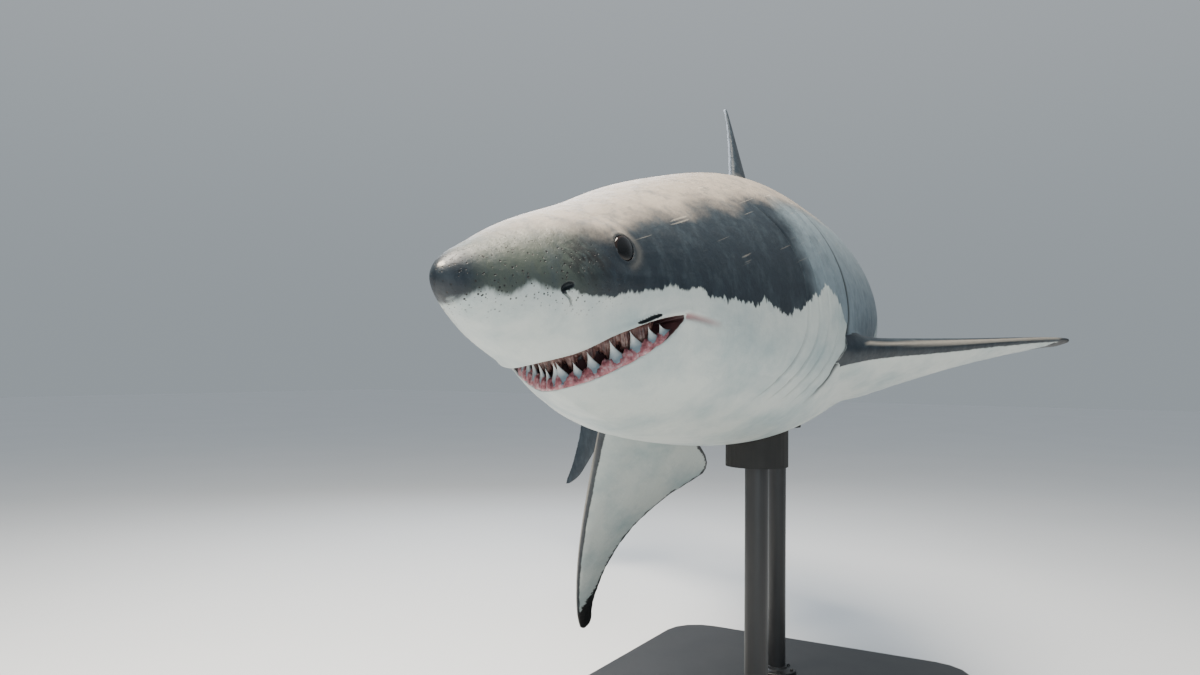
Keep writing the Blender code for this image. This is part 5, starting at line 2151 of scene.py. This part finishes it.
# --- The stand ---
@dataclass
class Stand:
    """The plate, rods and saddles that carry the animal, with a bolted flange at each rod's foot."""

    flange_radius: float = 0.070
    flange_height: float = 0.012
    screws: int = 6
    screw_radius: float = 0.0055
    edge: float = 0.004

    def flange(self, node: str) -> bpy.types.Object:
        """A turned flange with its ring of cap screws round a rod's foot.

        Args:
            node: The rod's name.

        Returns:
            The flange.
        """
        low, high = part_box(node)
        middle = (low + high) / 2
        rod = (high.x - low.x) / 2
        profile = (
            (rod + 0.0006, 0.0), (self.flange_radius, 0.0), (self.flange_radius, self.flange_height * 0.8),
            (self.flange_radius - 0.0025, self.flange_height), (rod + 0.012, self.flange_height),
            (rod + 0.006, self.flange_height + 0.004), (rod + 0.004, self.flange_height + 0.012),
            (rod + 0.0006, self.flange_height + 0.013),
        )
        shaped = bmesh.new()
        self.turn(shaped, profile, (middle.x, middle.y, low.z), 72)
        ring = (rod + 0.012 + self.flange_radius) / 2
        for i in range(self.screws):
            angle = math.tau * (i + 0.5) / self.screws
            place = (middle.x + ring * math.cos(angle), middle.y + ring * math.sin(angle),
                     low.z + self.flange_height)
            self.turn(shaped, ((0.0, -0.001), (self.screw_radius, -0.001), (self.screw_radius, 0.0045),
                               (self.screw_radius - 0.0008, 0.0055), (0.0026, 0.0055), (0.0022, 0.0025),
                               (0.0, 0.0025)), place, 24)
        mesh = bpy.data.meshes.new(node + "_flange")
        shaped.to_mesh(mesh)
        shaped.free()
        mesh.shade_smooth()
        mesh.set_sharp_from_angle(angle=math.radians(35))
        made = bpy.data.objects.new(node + "_flange", mesh)
        bpy.context.scene.collection.objects.link(made)
        return made

    def turn(self, shaped: bmesh.types.BMesh, profile: Table, place: Triple, count: int) -> None:
        """Adds a turned solid whose profile closes on itself or on the axis.

        Args:
            shaped: What it is added to.
            profile: Radius and height of each point, from the inner foot outwards and up.
            place: The middle of its foot.
            count: Points round it.
        """
        rows = []
        for radius, height in profile:
            angles = [math.tau * i / count for i in range(count if radius else 1)]
            flat = [(radius * math.cos(angle), radius * math.sin(angle)) for angle in angles]
            rows.append([shaped.verts.new((place[0] + x, place[1] + y, place[2] + height)) for x, y in flat])
        if len(rows[0]) > 1:
            rows.append(rows[0])
        for near, far in zip(rows, rows[1:]):
            for i in range(count):
                j = (i + 1) % count
                corners = [near[i % len(near)], near[j % len(near)], far[j % len(far)], far[i % len(far)]]
                shaped.faces.new(list(dict.fromkeys(corners)))

    def build(self) -> list[bpy.types.Object]:
        """Dresses the stand's nodes and adds the flanges.

        Returns:
            The flanges.
        """
        coat = PowderCoat().build()
        rubber = SaddleRubber().build()
        for name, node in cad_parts.items():
            if name.startswith("stand_"):
                node.data.materials.clear()
                node.data.materials.append(rubber if "saddle" in name else coat)
                bevel = node.modifiers.new("eased_edges", "BEVEL")
                bevel.width = self.edge
                bevel.segments = 3
                bevel.limit_method = "ANGLE"
                bevel.angle_limit = math.radians(40)
                bevel.harden_normals = False
        made = []
        for where in ("front", "rear"):
            flange = self.flange(f"stand_rod_{where}")
            flange.data.materials.append(coat)
            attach(flange, "root")
            made.append(flange)
        return made


# --- The studio ---
@dataclass
class Studio:
    """A pale floor, soft lights, pale air that brightens overhead, and the camera."""

    camera_place: Triple = (-2.6547, -1.0559, 1.1369)
    forward: Triple = (0.8677, 0.4960, 0.0338)
    down: Triple = (0.0343, 0.0080, -0.9994)
    lens: float = 27.0
    floor_size: float = 60.0
    horizon: str = "#bcc6cd"
    zenith: str = "#e6edf3"
    air: float = 0.62
    # Each light's name, place, aim, side, power and colour.
    lights: tuple[tuple[str, Triple, Triple, float, float, str], ...] = (
        ("key_light", (-1.7, 0.5, 4.6), (-0.8, 0.0, 1.3), 2.2, 660.0, "#fff3e2"),
        ("fill_light", (-4.6, -2.6, 1.2), (-0.8, 0.0, 1.1), 2.6, 45.0, "#d6ebf8"),
        ("rim_light", (2.6, 2.8, 3.6), (0.0, 0.2, 1.3), 2.4, 120.0, "#eaf3ff"),
    )

    def camera(self) -> None:
        """Places the camera."""
        data = bpy.data.cameras.new("camera")
        data.lens = self.lens
        data.sensor_width = 36.0
        data.clip_start = 0.05
        made = bpy.data.objects.new("camera", data)
        bpy.context.scene.collection.objects.link(made)
        back = -Vector(self.forward).normalized()
        right = Vector(self.forward).cross(-Vector(self.down)).normalized()
        up = back.cross(right).normalized()
        turned = Matrix((right, up, back)).transposed().to_4x4()
        made.matrix_world = Matrix.Translation(self.camera_place) @ turned
        bpy.context.scene.camera = made

    def light(self, name: str, place: Triple, aim: Triple, size: float, power: float, colour: str) -> None:
        """Adds a square soft light.

        Args:
            name: Its name.
            place: Where it hangs, metres.
            aim: What it points at, metres.
            size: Its side, metres.
            power: Watts.
            colour: sRGB hex.
        """
        data = bpy.data.lights.new(name, "AREA")
        data.size = size
        data.energy = power
        data.color = linear(colour)[:3]
        made = bpy.data.objects.new(name, data)
        made.location = place
        made.rotation_euler = (Vector(aim) - Vector(place)).to_track_quat("-Z", "Y").to_euler()
        bpy.context.scene.collection.objects.link(made)

    def build(self) -> None:
        """Makes the floor, the lights, the sky and the camera."""
        half = self.floor_size / 2
        corners = np.array([(-half, -half, 0.0), (half, -half, 0.0), (half, half, 0.0), (-half, half, 0.0)])
        floor = new_object("studio_floor", corners, [(0, 1, 2, 3)])
        floor.data.materials.append(StudioPaint().build())
        for light in self.lights:
            self.light(*light)
        world = bpy.data.worlds.new("studio_air")
        world.use_nodes = True
        tree = world.node_tree
        add = partial(add_node, tree)
        rise = add("SeparateXYZ", add("TexCoord"), output="Z")
        rise = add("MapRange", rise, From_Max=0.7, To_Max=1.0, interpolation_type="SMOOTHSTEP")
        dome = add("Mix", Factor=rise, A=self.horizon, B=self.zenith, data_type="RGBA")
        air = tree.nodes["Background"]
        feed(air.inputs["Color"], dome)
        feed(air.inputs["Strength"], self.air)
        bpy.context.scene.world = world
        self.camera()


def main() -> None:
    """Builds every sub-assembly in order and reports each piece."""
    logging.basicConfig(level=logging.INFO, format="%(message)s")
    Studio().build()
    skin = SharkSkin().build()
    log.info("skin: %d faces", len(skin.data.polygons))
    for side in Side:
        log.info("eye: %s", Eye(side).build().name)
    upper = Jaw(
        "gum_upper", rise=-1, drawn=0.80, gum_half=12.0, gum_height=36.0, swell=0.26, sink=1.0, stop=0.4,
        places=((15, 1.0), (50, 1.0), (86, 1.0), (122, 0.9), (152, 0.8)),
        tooth=ToothShape(height=2.0, width=12.0, rake=4.0, hook=0.10, hollow=0.95),
        gum_finish=GumSilicone("upper_gum_silicone", "#6d4a44", "#a68c82", "#35211f", 14.0),
    )
    lower = Jaw(
        "gum_lower", rise=1, drawn=0.93, gum_half=9.0, gum_height=17.0, swell=-0.30, sink=1.0, stop=0.3,
        places=((10, 1.0), (38, 0.8), (68, 1.0), (113, 1.05), (154, 1.0), (187, 0.74), (208, 0.55)),
        tooth=ToothShape(height=30.0, width=42.0, rake=9.0, hook=-0.24, hollow=1.35, thickness=0.24),
        gum_finish=GumSilicone("lower_gum_silicone"),
    )
    for jaw in (upper, lower):
        for made in jaw.build():
            log.info("%s: %d faces", made.name, len(made.data.polygons))
    for piece in Stand().build():
        log.info("%s", piece.name)


if __name__ == "__main__":
    main()
